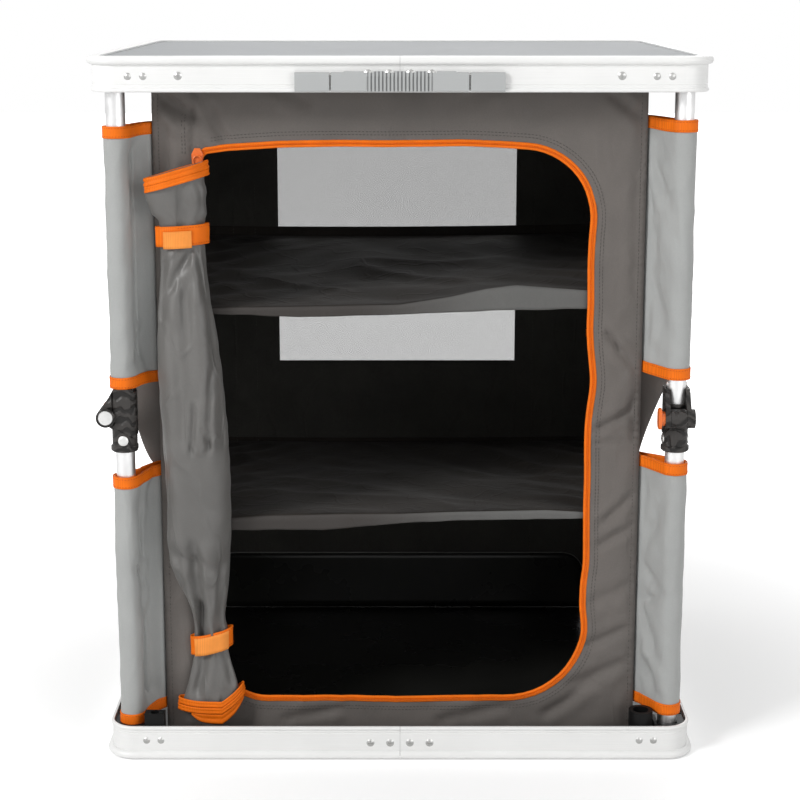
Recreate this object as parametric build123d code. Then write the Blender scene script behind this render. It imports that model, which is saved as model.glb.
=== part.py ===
from build123d import *
import math
import os

# Overall size in millimetres. The front faces -Y and the origin is the middle of the footprint.
width = 600.0
depth = 500.0
height = 707.0

# Frame bar, used for the top and, turned over, for the tray
frame_height = 34.0
frame_corner = 30.0
bead_radius = 4.0
wall_recess = 5.0
frame_wall = 1.6
flange_reach = 12.5
flange_thickness = 1.5
lip_height = 4.0
lip_reach = 1.3
groove_depth = 0.4
groove_width = 1.0
groove_level = 27.0
seam_gap = 0.3

# Boards
board_thickness = 2.5
board_gap = 0.3
pan_rim_height = 29.0
pan_rim_wall = 1.2
pan_rim_gap = 0.3

# Folding legs
tube_radius = 9.5
tube_wall = 1.2
leg_inset_front = 30.0
knee_offset = 16.5
ear_radius = 9.5
closed_gap = 1.0
pivot_radius = 3.0
pivot_clearance = 0.08
open_pivot_clearance = 0.3

# Knuckles
body_radius = 12.5
flange_radius = 14.0
flange_band = 6.0
socket_clearance = 0.05
lower_socket_length = 36.0
lower_tube_stop = 19.0
upper_socket_top = 24.0
upper_tube_stop = 8.0
tongue_half = 7.8
side_clearance = 0.3
butt_level = 4.0
butt_gap = 0.5
cheek_outside = 12.5
horn_level = 28.0
slant_low = 22.0
slant_high = 8.5
slant_gap = 0.5
head_boss = 16.2
button_boss = 13.4
knee_pin_radius = 4.0
knee_head_radius = 7.6
knee_head_thickness = 2.0
plug_clearance = 0.1
plug_top = 34.0

# Lock buttons
button_travel = 2.5
button_hub_radius = 7.2
button_clearance = 0.2
button_recess = 4.2
button_wing = (22.0, 15.0, 3.0)
button_hub_show = 3.4

# Fasteners
rivet_head = 3.5
rivet_head_height = 1.3
rivet_shank = 2.0
hole_clearance = 0.1
corner_rivets = (257.5, 243.0)
corner_rivet_level = 19.0
splice_screws = (-30.0, -10.0, 10.0, 30.0)
splice_screw_level = 16.5
splice_size = (76.0, 20.0, 2.0)
screw_head = 4.0
side_screw_x = 210.0
side_screw_level = 18.5
nut_radius = 4.5
nut_height = 3.0
leg_rivet_head = 5.0
leg_rivet_level = 24.0
upper_rivet_head = 2.8
upper_rivet_level = 31.2

# Corner brackets
bracket_height = 31.0
bracket_base = 2.4
bracket_wall = 3.9
leg_slot_gap = 0.4
bracket_plate = 2.5
plate_level = 22.0
cup_place = 246.0
cup_radius = 12.3
cup_bore = 8.1
cup_height = 46.0
post_place = 249.5
post_width = 20.0
post_bore = 4.6

# Handle
handle_half = 99.5
handle_grip_half = 65.0
handle_gap = 2.0
handle_below_top = 33.0
handle_height = 19.0
handle_rise = 1.0
handle_rise_half = 53.0
handle_skin = 1.5
handle_pin = 1.0
handle_pin_skin = 0.6
handle_pin_length = 16.0
handle_clearance = 0.3
rib_count = 17
rib_pitch = 3.6
rib_width = 1.6
rib_height = 0.5
notch_width = 9.4
notch_reach = 1.7

# Fabric
cloth = 1.2
seat_gap = 0.3
cabinet_side_gap = 32.0
cabinet_front_gap = 23.0
cabinet_top_gap = 0.4
cabinet_bottom = 8.0
door_left_margin = 46.0
door_right_margin = 51.0
door_low = 42.0
door_top_margin = 91.0
door_corners = (24.0, 66.0, 58.0, 26.0)
door_hinge_margin = 28.0
door_hinge_drop = 26.0
zip_width = 6.0
zip_depth = 1.6
back_hem_level = 32.0
back_hem_corner = 24.0
window_left_margin = 95.0
window_right_margin = 102.0
window_sill_drop = 32.5
window_top_margin = 55.0
window_seam = 9.0
upper_shelf_rise = 116.5
lower_shelf_drop = 111.5
lower_shelf_back_drop = 22.0
shelf_lip = 15.0
sleeve_ease = 2.1
sleeve_cloth = 0.9
sleeve_back_edge = 16.0
sleeve_above_knee = 29.0
sleeve_top_margin = 65.0
sleeve_below_knee = 57.5
sleeve_foot_level = 36.0
tape_height = 11.0
tape_cloth = 0.8
gusset_drop = 51.5

# The places below are worked out from the sizes above.
inner_wall = wall_recess + frame_wall
board_level = flange_thickness + board_gap / 2
fold_drop = height - 2 * frame_height - closed_gap
knee_reach = knee_offset + fold_drop / 2
foot_level = (height - 2 * knee_reach) / 2
head_level = height - foot_level
knee_level = height / 2
leg_x = width / 2 - knee_offset - ear_radius
leg_y = depth / 2 - leg_inset_front
pan_top = board_level + board_thickness
rim_inset = inner_wall + pan_rim_gap
bracket_inset = rim_inset + pan_rim_wall + seat_gap
cabinet_top = height - pan_top - cabinet_top_gap
cabinet_half = leg_x - cabinet_side_gap
cabinet_front = leg_y - cabinet_front_gap
door_left = door_left_margin - cabinet_half
door_right = cabinet_half - door_right_margin
door_high = height - door_top_margin
door_hinge_side = door_left + door_hinge_margin
door_hinge_top = door_high - door_hinge_drop
window_left = window_left_margin - cabinet_half
window_right = cabinet_half - window_right_margin
window_low = knee_level - window_sill_drop
window_high = height - window_top_margin
upper_shelf_level = knee_level + upper_shelf_rise
lower_shelf_level = knee_level - lower_shelf_drop
sleeve_radius = tube_radius + sleeve_ease
upper_sleeve = (knee_level + sleeve_above_knee, height - sleeve_top_margin)
lower_sleeve = (sleeve_foot_level, knee_level - sleeve_below_knee)
gusset_low = knee_level - gusset_drop

legs = {
    "front_left": (-leg_x, -leg_y, 0),
    "front_right": (leg_x, -leg_y, 90),
    "back_right": (leg_x, leg_y, 180),
    "back_left": (-leg_x, leg_y, 270),
}


def place(shape, leg):
    """Moves a piece from the leg's own frame, where +X is the way its knee folds, to its corner."""
    x, y, turn = legs[leg]
    return Pos(x, y, 0) * (Rot(0, 0, turn) * shape)


def turned_over(shape):
    """The same piece on the top, mirrored about half the height."""
    return Pos(0, 0, height) * mirror(shape, about=Plane.XY)


def rod(radius, start, end, axis="Z", at=(0, 0)):
    """A round bar between two stations along an axis, at the other two coordinates."""
    length = end - start
    bar = extrude(Circle(radius), amount=length)
    if axis == "Z":
        return Pos(at[0], at[1], start) * bar
    if axis == "Y":
        return Pos(at[0], end, at[1]) * (Rot(90, 0, 0) * bar)
    return Pos(start, at[0], at[1]) * (Rot(0, 90, 0) * bar)


def block(x0, x1, y0, y1, z0, z1):
    """A box between its low and high corners."""
    return Pos((x0 + x1) / 2, (y0 + y1) / 2, (z0 + z1) / 2) * Box(x1 - x0, y1 - y0, z1 - z0)


def slab(outline, z0, z1):
    """A flat outline raised from one level to another."""
    return Pos(0, 0, z0) * extrude(outline, amount=z1 - z0)


def side_plate(outline, c0, c1):
    """An outline in the leg's fold plane, given thickness between two stations across it."""
    return Pos(0, c1, 0) * (Rot(90, 0, 0) * extrude(outline, amount=c1 - c0))


def loop_outline(inset):
    """The tray's plan outline, moved in by an inset."""
    return RectangleRounded(width - 2 * inset, depth - 2 * inset, frame_corner - inset)


def frame_path():
    """The outer edge of the frame, starting and ending at the seam."""
    x = width / 2
    y = depth / 2
    r = frame_corner
    corners = [(x, -y), (x, y), (-x, y), (-x, -y)]
    starts = [(0, -y), (x, -y + r), (x - r, y), (-x, y - r), (-x + r, -y)]
    ends = [(x - r, -y), (x, y - r), (-x + r, y), (-x, -y + r), (0, -y)]
    edges = []
    for k in range(5):
        edges.append(Line(starts[k], ends[k]))
        if k < 4:
            cx, cy = corners[k]
            middle = (cx - math.copysign(r, cx), cy - math.copysign(r, cy))
            half = r / math.sqrt(2)
            bend = (middle[0] + math.copysign(half, cx), middle[1] + math.copysign(half, cy))
            edges.append(ThreePointArc(ends[k], bend, starts[k + 1]))
    return Wire([piece.edge() for piece in edges])


def frame_section():
    """The bar's section at the seam: Y runs back from the front, Z up, with the flange on top."""
    front = -depth / 2
    wall = front + wall_recess
    inside = front + inner_wall
    low = height - frame_height
    bead = Line((front + bead_radius, height), (front + flange_reach, height))
    tip = Line(bead @ 1, (front + flange_reach, height - flange_thickness))
    under = Line(tip @ 1, (inside, height - flange_thickness))
    back = Line(under @ 1, (inside, low))
    foot = Line(back @ 1, (wall, low))
    lip = ThreePointArc(foot @ 1, (wall - lip_reach, low + lip_height / 2), (wall, low + lip_height))
    groove = height - groove_level
    below = Line(lip @ 1, (wall, groove - groove_width / 2))
    cut = ThreePointArc(below @ 1, (wall + groove_depth, groove), (wall, groove + groove_width / 2))
    above = Line(cut @ 1, (wall, height - 2 * bead_radius))
    step = Line(above @ 1, (front + bead_radius, height - 2 * bead_radius))
    round_edge = ThreePointArc(step @ 1, (front, height - bead_radius), bead @ 0)
    return Plane.YZ * make_face([bead, tip, under, back, foot, lip, below, cut, above, step, round_edge])


def bare_frame():
    loop = sweep(frame_section(), path=frame_path().moved(Location((0, 0, height))))
    seam = block(-seam_gap / 2, seam_gap / 2, -depth / 2 - 1, -depth / 2 + flange_reach + 1, 0, height + 1)
    return loop - seam


def fastener(head, head_height, shank, length):
    """A domed head with its shank, along +Z, with the head's seat at zero."""
    crown = (head * head + head_height * head_height) / (2 * head_height)
    dome = Pos(0, 0, head_height - crown) * Sphere(crown)
    dome = dome & rod(head, 0, head_height)
    return dome + rod(shank, -length, 0)


def cross_slot(radius, depth_in):
    """The cutter of a cross recess, centred on Z with its top at zero."""
    arm = Box(2 * radius, 0.9, depth_in)
    return Pos(0, 0, -depth_in / 2) * (arm + Rot(0, 0, 90) * arm)


def facing(side):
    """Turns +Z to face out of the front (-1) or the back (1)."""
    return Rot(90, 0, 0) if side < 0 else Rot(-90, 0, 0)


def corner_rivet_places(level):
    return [
        (x * sign, side * (depth / 2 - wall_recess), level, side)
        for side in (-1, 1)
        for sign in (-1, 1)
        for x in corner_rivets
    ]


def rivet_holes(level):
    """Cutters through the frame wall, the pan rim and the brackets."""
    cuts = []
    for x, y, z, side in corner_rivet_places(level):
        reach = bracket_inset + bracket_plate + 8
        y0, y1 = sorted((side * (depth / 2 + 1), side * (depth / 2 - reach)))
        cuts.append(rod(rivet_shank + hole_clearance, y0, y1, "Y", (x, z)))
    return cuts


def corner_rivet_set(level):
    length = bracket_inset - wall_recess + bracket_plate - 0.2
    one = fastener(rivet_head, rivet_head_height, rivet_shank, length)
    return [Pos(x, y, z) * (facing(side) * one) for x, y, z, side in corner_rivet_places(level)]


def splice_holes(level):
    y0 = -depth / 2 - 1
    y1 = -depth / 2 + inner_wall + splice_size[2] + 2
    return [rod(rivet_shank + hole_clearance, y0, y1, "Y", (x, level)) for x in splice_screws]


def splice_screw_set(level):
    length = frame_wall + seat_gap + splice_size[2] - 0.2
    one = fastener(screw_head, rivet_head_height, rivet_shank, length)
    one = one - Pos(0, 0, rivet_head_height + 0.1) * cross_slot(screw_head * 0.6, 0.8)
    return [Pos(x, -depth / 2 + wall_recess, level) * (facing(-1) * one) for x in splice_screws]


def splice_plate(level):
    length, tall, thick = splice_size
    y0 = -depth / 2 + rim_clear
    plate = block(-length / 2, length / 2, y0, y0 + thick, level - tall / 2, level + tall / 2)
    return plate - splice_holes(level)


def floor_pan():
    """The black floor: a sheet under a low rim with rounded corners."""
    base = slab(loop_outline(inner_wall + board_gap), board_level, pan_top)
    rim = slab(loop_outline(rim_inset) - loop_outline(rim_inset + pan_rim_wall), board_level, pan_rim_height)
    half = splice_size[0] / 2 + 1
    gap = block(-half, half, -depth / 2, -depth / 2 + rim_inset + pan_rim_wall + 1, pan_top, pan_rim_height + 1)
    return base + rim - gap - rivet_holes(corner_rivet_level)


# Corner brackets

def bracket_body(leg, inset, lifted):
    """One moulded bracket at the foot of a leg, with the leg's slot open on the side it folds to."""
    x, y, turn = legs[leg]
    sx = math.copysign(1, x)
    sy = math.copysign(1, y)
    half = tube_radius + leg_slot_gap
    reach = half + bracket_wall
    low = pan_top + seat_gap
    corner = slab(loop_outline(inset), low, bracket_height)
    x_in = x - sx * reach
    y_in = y - sy * reach
    near = block(min(x_in, sx * width), max(x_in, sx * width), min(y_in, sy * depth),
                 max(y_in, sy * depth), low, bracket_height)
    body = corner & near
    top = plate_level if lifted else bracket_height
    end_x = corner_rivets[1] - 7
    wall_y = depth / 2 - inset
    y0, y1 = sorted((sy * wall_y, sy * (wall_y - bracket_plate)))
    x0, x1 = sorted((sx * end_x, sx * (width / 2 - frame_corner)))
    body = body + block(x0, x1, y0, y1, low, top)
    slot = block(-half, 60, -half, half, low + bracket_base, bracket_height + 40)
    body = body - place(slot, leg)
    if not lifted:
        body = body + bracket_socket(leg, sx, sy, wall_y, low)
        body = body - socket_bore(leg, sx, sy, wall_y, low)
    hole = rod(pivot_radius + pivot_clearance / 2, -reach - 30, reach + 30, "Y", (0, foot_level))
    hole = hole & block(-30, 30, -reach, reach, 0, height)
    return body - place(hole, leg)


def bracket_socket(leg, sx, sy, wall_y, low):
    """The round cup of a leg that folds to the back, or the square post of one that folds sideways."""
    if legs[leg][2] in (90, 270):
        centre = (sx * cup_place, sy * (wall_y - cup_radius))
        return rod(cup_radius, low, cup_height, "Z", centre)
    y_in = leg_y + tube_radius + leg_slot_gap
    y0, y1 = sorted((sy * wall_y, sy * y_in))
    x0 = sx * post_place - post_width / 2
    return block(x0, x0 + post_width, y0, y1, low, cup_height)


def socket_bore(leg, sx, sy, wall_y, low):
    if legs[leg][2] in (90, 270):
        centre = (sx * cup_place, sy * (wall_y - cup_radius))
        return rod(cup_bore, low + 8, cup_height + 1, "Z", centre)
    middle = (wall_y + leg_y + tube_radius + leg_slot_gap) / 2
    return rod(post_bore, low + 8, cup_height + 1, "Z", (sx * post_place, sy * middle))


def bracket_pins(level, clearance):
    half = tube_radius + leg_slot_gap + bracket_wall
    pin = rod(pivot_radius - clearance, -half, half, "Y", (0, level))
    return [place(pin, leg) for leg in legs]


# Leg pieces, in the leg's own frame

def tube_between(z0, z1):
    return rod(tube_radius, z0, z1) - rod(tube_radius - tube_wall, z0 - 1, z1 + 1)


def rounded_foot(level):
    """What is cut from a tube below its pivot, so that its end is round about the pin."""
    r = tube_radius
    return block(-r - 1, r + 1, -r - 1, r + 1, level - r - 1, level) - rod(r, -r - 2, r + 2, "Y", (0, level))


def lower_tube():
    tube = tube_between(foot_level - tube_radius, knee_level - lower_tube_stop)
    hole = rod(pivot_radius + pivot_clearance / 2, -20, 20, "Y", (0, foot_level))
    rivet = rod(rivet_shank + hole_clearance, -20, 20, "Y", (0, knee_level - leg_rivet_level))
    return tube - rounded_foot(foot_level) - hole - rivet


def upper_tube(loose):
    foot = turned_over(rounded_foot(foot_level))
    tube = tube_between(knee_level + upper_tube_stop, head_level + tube_radius)
    clearance = open_pivot_clearance if loose else pivot_clearance / 2
    hole = rod(pivot_radius + clearance, -20, 20, "Y", (0, head_level))
    rivet = rod(rivet_shank + hole_clearance, -20, 20, "Y", (0, knee_level + upper_rivet_level))
    return tube - foot - hole - rivet


def slant_cut(shift):
    """The outline above the slanting joint between the two knuckle halves, moved down by a shift."""
    points = [(-60, 60), (-60, -slant_high), (-body_radius, -slant_high), (body_radius, -slant_low)]
    points += [(60, -slant_low), (60, 60)]
    return make_face(Polyline([(a, b - shift) for a, b in points], close=True))


def lower_knuckle():
    top = butt_level
    sleeve = rod(body_radius, -lower_socket_length, top)
    band = rod(flange_radius, -lower_socket_length, flange_band - lower_socket_length)
    band = chamfer(band.edges().filter_by(GeomType.CIRCLE), 1.2)
    band = band & block(-20, body_radius, -20, 20, -60, 0)
    tongue = side_plate(make_face(Polyline([(-body_radius, -14), (body_radius, -14), (body_radius, top),
                                            (-body_radius, top)], close=True)), -tongue_half, tongue_half)
    ear = rod(ear_radius, -tongue_half, tongue_half, "Y", (-knee_offset, 0))
    shoulders = side_plate(slant_cut(slant_gap), tongue_half, 40) + side_plate(slant_cut(slant_gap), -40, -tongue_half)
    body = (sleeve - shoulders) + band + (tongue & rod(body_radius, -20, top)) + ear
    neck = make_face(Polyline([(-knee_offset, -ear_radius), (-body_radius + 3, -14.5), (-body_radius + 3, 0),
                               (-knee_offset, 0)], close=True))
    body = body + side_plate(neck, -tongue_half, tongue_half)
    body = body - rod(tube_radius + socket_clearance, -lower_socket_length - 1, -lower_tube_stop)
    body = body - rod(tube_radius - tube_wall, -lower_tube_stop - 1, -lower_tube_stop + 6)
    body = body - rod(knee_pin_radius + socket_clearance, -20, 20, "Y", (-knee_offset, 0))
    body = body - rod(rivet_shank + hole_clearance, -20, 20, "Y", (0, -leg_rivet_level))
    return Pos(0, 0, knee_level) * body


def cheek_outline():
    """Side view of the fork: its ear round the knee pin, the wing up to its horn and the slant below."""
    wing = Polyline([
        (-knee_offset - ear_radius * 0.9, ear_radius * 0.42),
        (-knee_offset + 2.5, 19),
        (-body_radius + 3.5, horn_level),
        (body_radius - 3, horn_level),
        (body_radius, horn_level - 6),
        (body_radius, -slant_low),
        (-body_radius, -slant_high),
        (-knee_offset, -ear_radius + 0.4),
    ], close=True)
    return make_face(wing) + Pos(-knee_offset, 0) * Circle(ear_radius)


def upper_knuckle():
    inner = tongue_half + side_clearance
    cheek = cheek_outline()
    pair = side_plate(cheek, inner, cheek_outside) + side_plate(cheek, -cheek_outside, -inner)
    rounder = rod(body_radius + 2.2, -60, 60)
    ears = block(-60, -body_radius + 2, -20, 20, -60, 60)
    pair = pair & (rounder + ears)
    core = rod(body_radius, butt_level + butt_gap, upper_socket_top)
    core = core - block(-20, -5, -tongue_half, tongue_half, 13, 60)
    pin_room = rod(ear_radius + side_clearance, -inner, inner, "Y", (-knee_offset, 0))
    plug = rod(tube_radius - tube_wall - plug_clearance, butt_level + butt_gap, plug_top)
    body = pair + (core - pin_room)
    body = body - (rod(tube_radius + socket_clearance, upper_tube_stop, 60) - rod(tube_radius - tube_wall - plug_clearance, 0, 60))
    body = body + (plug - pin_room)
    body = body + rod(ear_radius, -head_boss, -cheek_outside + 1, "Y", (-knee_offset, 0))
    body = body + rod(ear_radius, cheek_outside - 1, button_boss, "Y", (-knee_offset, 0))
    body = body - rod(knee_pin_radius + pivot_clearance / 2, -20, 20, "Y", (-knee_offset, 0))
    head_room = knee_head_thickness + 0.1
    body = body - rod(knee_head_radius + 0.15, -head_boss - 1, -head_boss + head_room, "Y", (-knee_offset, 0))
    hub = button_hub_radius + button_clearance
    body = body - rod(hub, button_boss - button_recess, button_boss + 1, "Y", (-knee_offset, 0))
    body = body - rod(rivet_shank + hole_clearance, -20, 20, "Y", (0, upper_rivet_level))
    return Pos(0, 0, knee_level) * body


def rivet_heads(radius, around, level):
    """Two domed heads on the sides of a round leg piece, hollowed to fit it."""
    dome = fastener(radius, 1.1, radius, 1.6)
    heads = Pos(0, -around - 0.2, level) * (Rot(90, 0, 0) * dome) + Pos(0, around + 0.2, level) * (Rot(-90, 0, 0) * dome)
    hollow = rod(around + 0.05, level - 20, level + 20) - rod(rivet_shank, -around - 1, around + 1, "Y", (0, level))
    return heads - hollow


def lower_fasteners():
    """The knee pin, headed on the outside, and the rivet that holds the lower tube in its socket."""
    end = button_boss - button_recess - 0.3
    pin = rod(knee_pin_radius, -head_boss + 1, end, "Y", (-knee_offset, 0))
    head = rod(knee_head_radius, -head_boss, -head_boss + knee_head_thickness, "Y", (-knee_offset, 0))
    head = chamfer(head.edges().filter_by(GeomType.CIRCLE).sort_by(Axis.Y)[0], 0.7)
    rivet = rod(rivet_shank, -body_radius, body_radius, "Y", (0, -leg_rivet_level))
    rivet = rivet + rivet_heads(leg_rivet_head, body_radius, -leg_rivet_level)
    return [Pos(0, 0, knee_level) * (pin + head), Pos(0, 0, knee_level) * rivet]


def upper_rivet():
    """The small rivet through the upper tube, just above the fork."""
    rivet = rod(rivet_shank, -tube_radius - 0.1, tube_radius + 0.1, "Y", (0, 0))
    return Pos(0, 0, knee_level + upper_rivet_level) * (rivet + rivet_heads(upper_rivet_head, tube_radius, 0))


def lock_button():
    """The orange button beside the knee pin, on the side that faces the cabinet."""
    floor = button_boss - button_recess
    hub_end = button_boss + button_hub_show
    hub = rod(button_hub_radius, floor + button_travel + 0.3, hub_end, "Y", (-knee_offset, 0))
    tall, long, thick = button_wing
    wing = SlotOverall(tall, long, rotation=90)
    wing = Pos(-knee_offset, hub_end + thick, 0) * (Rot(90, 0, 0) * extrude(wing, amount=thick))
    wing = chamfer(wing.edges().group_by(Axis.Y)[-1], 1.2)
    return Pos(0, 0, knee_level) * (hub + wing)


# Handle. Its pins sit near the front face, so that the round back of its top clears the frame
# and the splice screws as the grip swings.
handle_wall = -depth / 2 + wall_recess
handle_face = -depth / 2
handle_axis_y = handle_face + handle_pin_skin + handle_pin
handle_top_radius = handle_wall - handle_clearance - handle_axis_y
handle_foot = height - handle_below_top
handle_axis_z = handle_foot + handle_height - handle_top_radius
handle_low_top = handle_foot + handle_height - handle_rise
handle_lip_y = handle_wall - lip_reach - handle_clearance
handle_lip_z = height - frame_height + lip_height + handle_clearance
handle_inner = handle_grip_half + handle_gap


def handle_profile(top):
    """Side view of the handle: hooked over the frame's lower lip, and round at the back of its top."""
    r = handle_top_radius
    y = handle_axis_y
    z = handle_axis_z
    turn = math.asin(min(1.0, (top - z) / r))
    back = Line((y + r, handle_lip_z), (y + r, z))
    middle = (y + r * math.cos(turn / 2), z + r * math.sin(turn / 2))
    crest = ThreePointArc(back @ 1, middle, (y + r * math.cos(turn), top))
    flat = Line(crest @ 1, (handle_face + 0.6, top))
    edge = Line(flat @ 1, (handle_face, top - 0.6))
    front = Line(edge @ 1, (handle_face, handle_foot + 0.6))
    toe = Line(front @ 1, (handle_face + 0.6, handle_foot))
    base = Line(toe @ 1, (handle_lip_y, handle_foot))
    hook = Line(base @ 1, (handle_lip_y, handle_lip_z))
    shelf_edge = Line(hook @ 1, back @ 0)
    return Plane.YZ * make_face([back, crest, flat, edge, front, toe, base, hook, shelf_edge])


def bar_along(face, x0, x1):
    return Pos(x0, 0, 0) * extrude(face, amount=x1 - x0, dir=(1, 0, 0))


def handle_mounts():
    one = bar_along(handle_profile(handle_low_top), handle_inner, handle_half)
    end = handle_inner + handle_pin_length / 2 + 0.5
    one = one - rod(handle_pin + 0.02, handle_inner - 1, end, "X", (handle_axis_y, handle_axis_z))
    return [one, mirror(one, about=Plane.YZ)]


def handle_pins():
    end = handle_inner + handle_pin_length / 2
    start = end - handle_pin_length
    pin = rod(handle_pin, start, end, "X", (handle_axis_y, handle_axis_z))
    return [pin, mirror(pin, about=Plane.YZ)]


def handle_grip():
    """The swinging grip: hollow behind, ribbed in front and notched over the splice screws."""
    grip = bar_along(handle_profile(handle_low_top), -handle_grip_half, handle_grip_half)
    grip = grip + bar_along(handle_profile(handle_foot + handle_height), -handle_rise_half, handle_rise_half)
    pocket_half = handle_grip_half - handle_pin_length + 4
    grip = grip - block(-pocket_half, pocket_half, handle_face + handle_skin, handle_wall,
                        handle_lip_z + handle_skin, handle_axis_z - handle_top_radius - 0.5)
    low = height - splice_screw_level - screw_head - 0.6
    for x in splice_screws:
        x0 = x - notch_width / 2
        x1 = x + notch_width / 2
        grip = grip - block(x0, x1, handle_axis_y + notch_reach, handle_wall, low, height)
        grip = grip - block(x0, x1, handle_axis_y + 0.6, handle_wall, handle_axis_z, height)
        grip = grip - block(x0, x1, handle_face - 1, handle_wall, handle_axis_z + notch_reach, height)
    for k in range(rib_count + 1):
        x = (k - rib_count / 2) * rib_pitch
        half = (rib_pitch - rib_width) / 2
        grip = grip - block(x - half, x + half, handle_face - 1, handle_face + rib_height,
                            handle_foot + 2, handle_axis_z - 2)
    for side in (-1, 1):
        x0, x1 = sorted((side * (handle_grip_half - handle_pin_length / 2), side * (handle_grip_half + 1)))
        grip = grip - rod(handle_pin + 0.04, x0, x1, "X", (handle_axis_y, handle_axis_z))
    return grip


# Fabric

def door_outline(grow):
    """The door opening in the front panel, as a face in X and Z, grown or shrunk."""
    x0 = door_left - grow
    x1 = door_right + grow
    z0 = door_low - grow
    z1 = door_high + grow
    corners = [(x0, z1), (x1, z1), (x1, z0), (x0, z0)]
    outline = make_face(Polyline(corners, close=True))
    for (x, z), radius in zip(corners, door_corners):
        nearest = outline.vertices().sort_by_distance((x, z, 0))[0]
        outline = fillet(nearest, radius + grow)
    return outline


def upright(outline, y0, y1):
    """An outline in X and Z, given thickness from y0 back to y1."""
    return Pos(0, y1, 0) * (Rot(90, 0, 0) * extrude(outline, amount=y1 - y0))


def panel_outline(half, low, high):
    return Pos(0, (low + high) / 2) * Rectangle(2 * half, high - low)


def front_panel():
    outline = panel_outline(cabinet_half, cabinet_bottom, cabinet_top) - door_outline(0)
    return upright(outline, -cabinet_front, -cabinet_front + cloth)


def zip_tape():
    outline = door_outline(zip_width / 2) - door_outline(-zip_width / 2)
    tape = upright(outline, -cabinet_front - seat_gap - zip_depth, -cabinet_front - seat_gap)
    return tape - block(door_left - 20, door_hinge_side, -depth, 0, 0, door_hinge_top)


def side_walls():
    y0 = -cabinet_front + cloth + seat_gap
    wall = block(cabinet_half - cloth, cabinet_half, y0, -y0, cabinet_bottom, cabinet_top)
    return [wall, mirror(wall, about=Plane.YZ)]


def back_wall():
    outline = panel_outline(cabinet_half, back_hem_level, cabinet_top)
    lower = [v for v in outline.vertices() if v.Y < back_hem_level + 1]
    outline = fillet(lower, back_hem_corner)
    opening = Pos((window_left + window_right) / 2, (window_low + window_high) / 2)
    opening = opening * RectangleRounded(window_right - window_left, window_high - window_low, 5)
    return upright(outline - opening, cabinet_front - cloth, cabinet_front)


def window_mesh():
    outline = Rectangle(window_right - window_left + 2 * window_seam, window_high - window_low + 2 * window_seam)
    outline = Pos((window_left + window_right) / 2, (window_low + window_high) / 2) * outline
    return upright(outline, cabinet_front + seat_gap, cabinet_front + seat_gap + 0.6)


def shelf(level, left_drop, right_drop, sag, back_drop):
    """A sagging fabric shelf with its front hem turned down, lofted from the front to the back."""
    half = cabinet_half - cloth - seat_gap
    y0 = -cabinet_front + cloth + seat_gap + 2
    y1 = cabinet_front - cloth - seat_gap
    sections = []
    stations = [(y0, 1.0, 1.0, 0.0), (y0 + 120, 1.5, 0.7, 0.3), (y0 + 260, 1.2, 0.4, 0.7), (y1, 0.3, 0.1, 1.0)]
    for y, dip, slope, back in stations:
        left = (-half, level - left_drop * slope - back_drop * back)
        right = (half, level - right_drop * slope - back_drop * back)
        middle = (0, level - sag * dip - (left_drop + right_drop) * slope / 2 - back_drop * back)
        top = ThreePointArc(left, middle, right)
        bottom = ThreePointArc((left[0], left[1] - cloth), (middle[0], middle[1] - cloth), (right[0], right[1] - cloth))
        face = make_face([top, bottom, Line(top @ 0, bottom @ 0), Line(top @ 1, bottom @ 1)])
        sections.append(Plane(origin=(0, y, 0), x_dir=(1, 0, 0), z_dir=(0, -1, 0)) * face)
    sheet = loft(sections, ruled=True)
    left = (-half, level - left_drop)
    right = (half, level - right_drop)
    middle = (0, level - sag - (left_drop + right_drop) / 2)
    top = ThreePointArc(left, middle, right)
    low = ThreePointArc((-half, left[1] - shelf_lip), (0, middle[1] - shelf_lip), (half, right[1] - shelf_lip))
    face = make_face([top, low, Line(top @ 0, low @ 0), Line(top @ 1, low @ 1)])
    lip = upright(face, y0 - cloth, y0)
    return sheet + lip


def tangent_point(outside, centre, radius, side):
    """Where a straight pull from a point outside touches a circle, on one side of it."""
    dx = centre[0] - outside[0]
    dy = centre[1] - outside[1]
    away = math.hypot(dx, dy)
    half = math.acos(radius / away)
    towards = math.atan2(-dy, -dx) + side * half
    return (centre[0] + radius * math.cos(towards), centre[1] + radius * math.sin(towards))


def sleeve_band(inner, outer, pull):
    """Plan of the cloth that runs from the cabinet's corner round the front left leg and back."""
    centre = (-leg_x, -leg_y)
    start = (-cabinet_half - seat_gap, -cabinet_front - pull)
    end = (-cabinet_half - seat_gap, -cabinet_front + sleeve_back_edge + pull)
    rims = []
    for radius, shift in ((inner, 0), (outer, outer - inner)):
        first = (start[0], start[1] - shift)
        last = (end[0], end[1] + shift)
        on = tangent_point(first, centre, radius, -1)
        off = tangent_point(last, centre, radius, 1)
        far = (centre[0] - radius * math.cos(math.radians(20)), centre[1] - radius * math.sin(math.radians(20)))
        rims.append((first, on, far, off, last))
    a, b = rims
    return make_face([
        Line(a[0], a[1]), ThreePointArc(a[1], a[2], a[3]), Line(a[3], a[4]), Line(a[4], b[4]),
        Line(b[4], b[3]), ThreePointArc(b[3], b[2], b[1]), Line(b[1], b[0]), Line(b[0], a[0]),
    ])


def at_all_corners(shape):
    """A piece of the front left corner, and its mirror images at the other three."""
    right = mirror(shape, about=Plane.YZ)
    return [shape, right, mirror(shape, about=Plane.XZ), mirror(right, about=Plane.XZ)]


def leg_sleeves():
    band = sleeve_band(sleeve_radius, sleeve_radius + sleeve_cloth, 0)
    pieces = []
    for low, high in (lower_sleeve, upper_sleeve):
        pieces += at_all_corners(slab(band, low, high))
    return pieces


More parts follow.
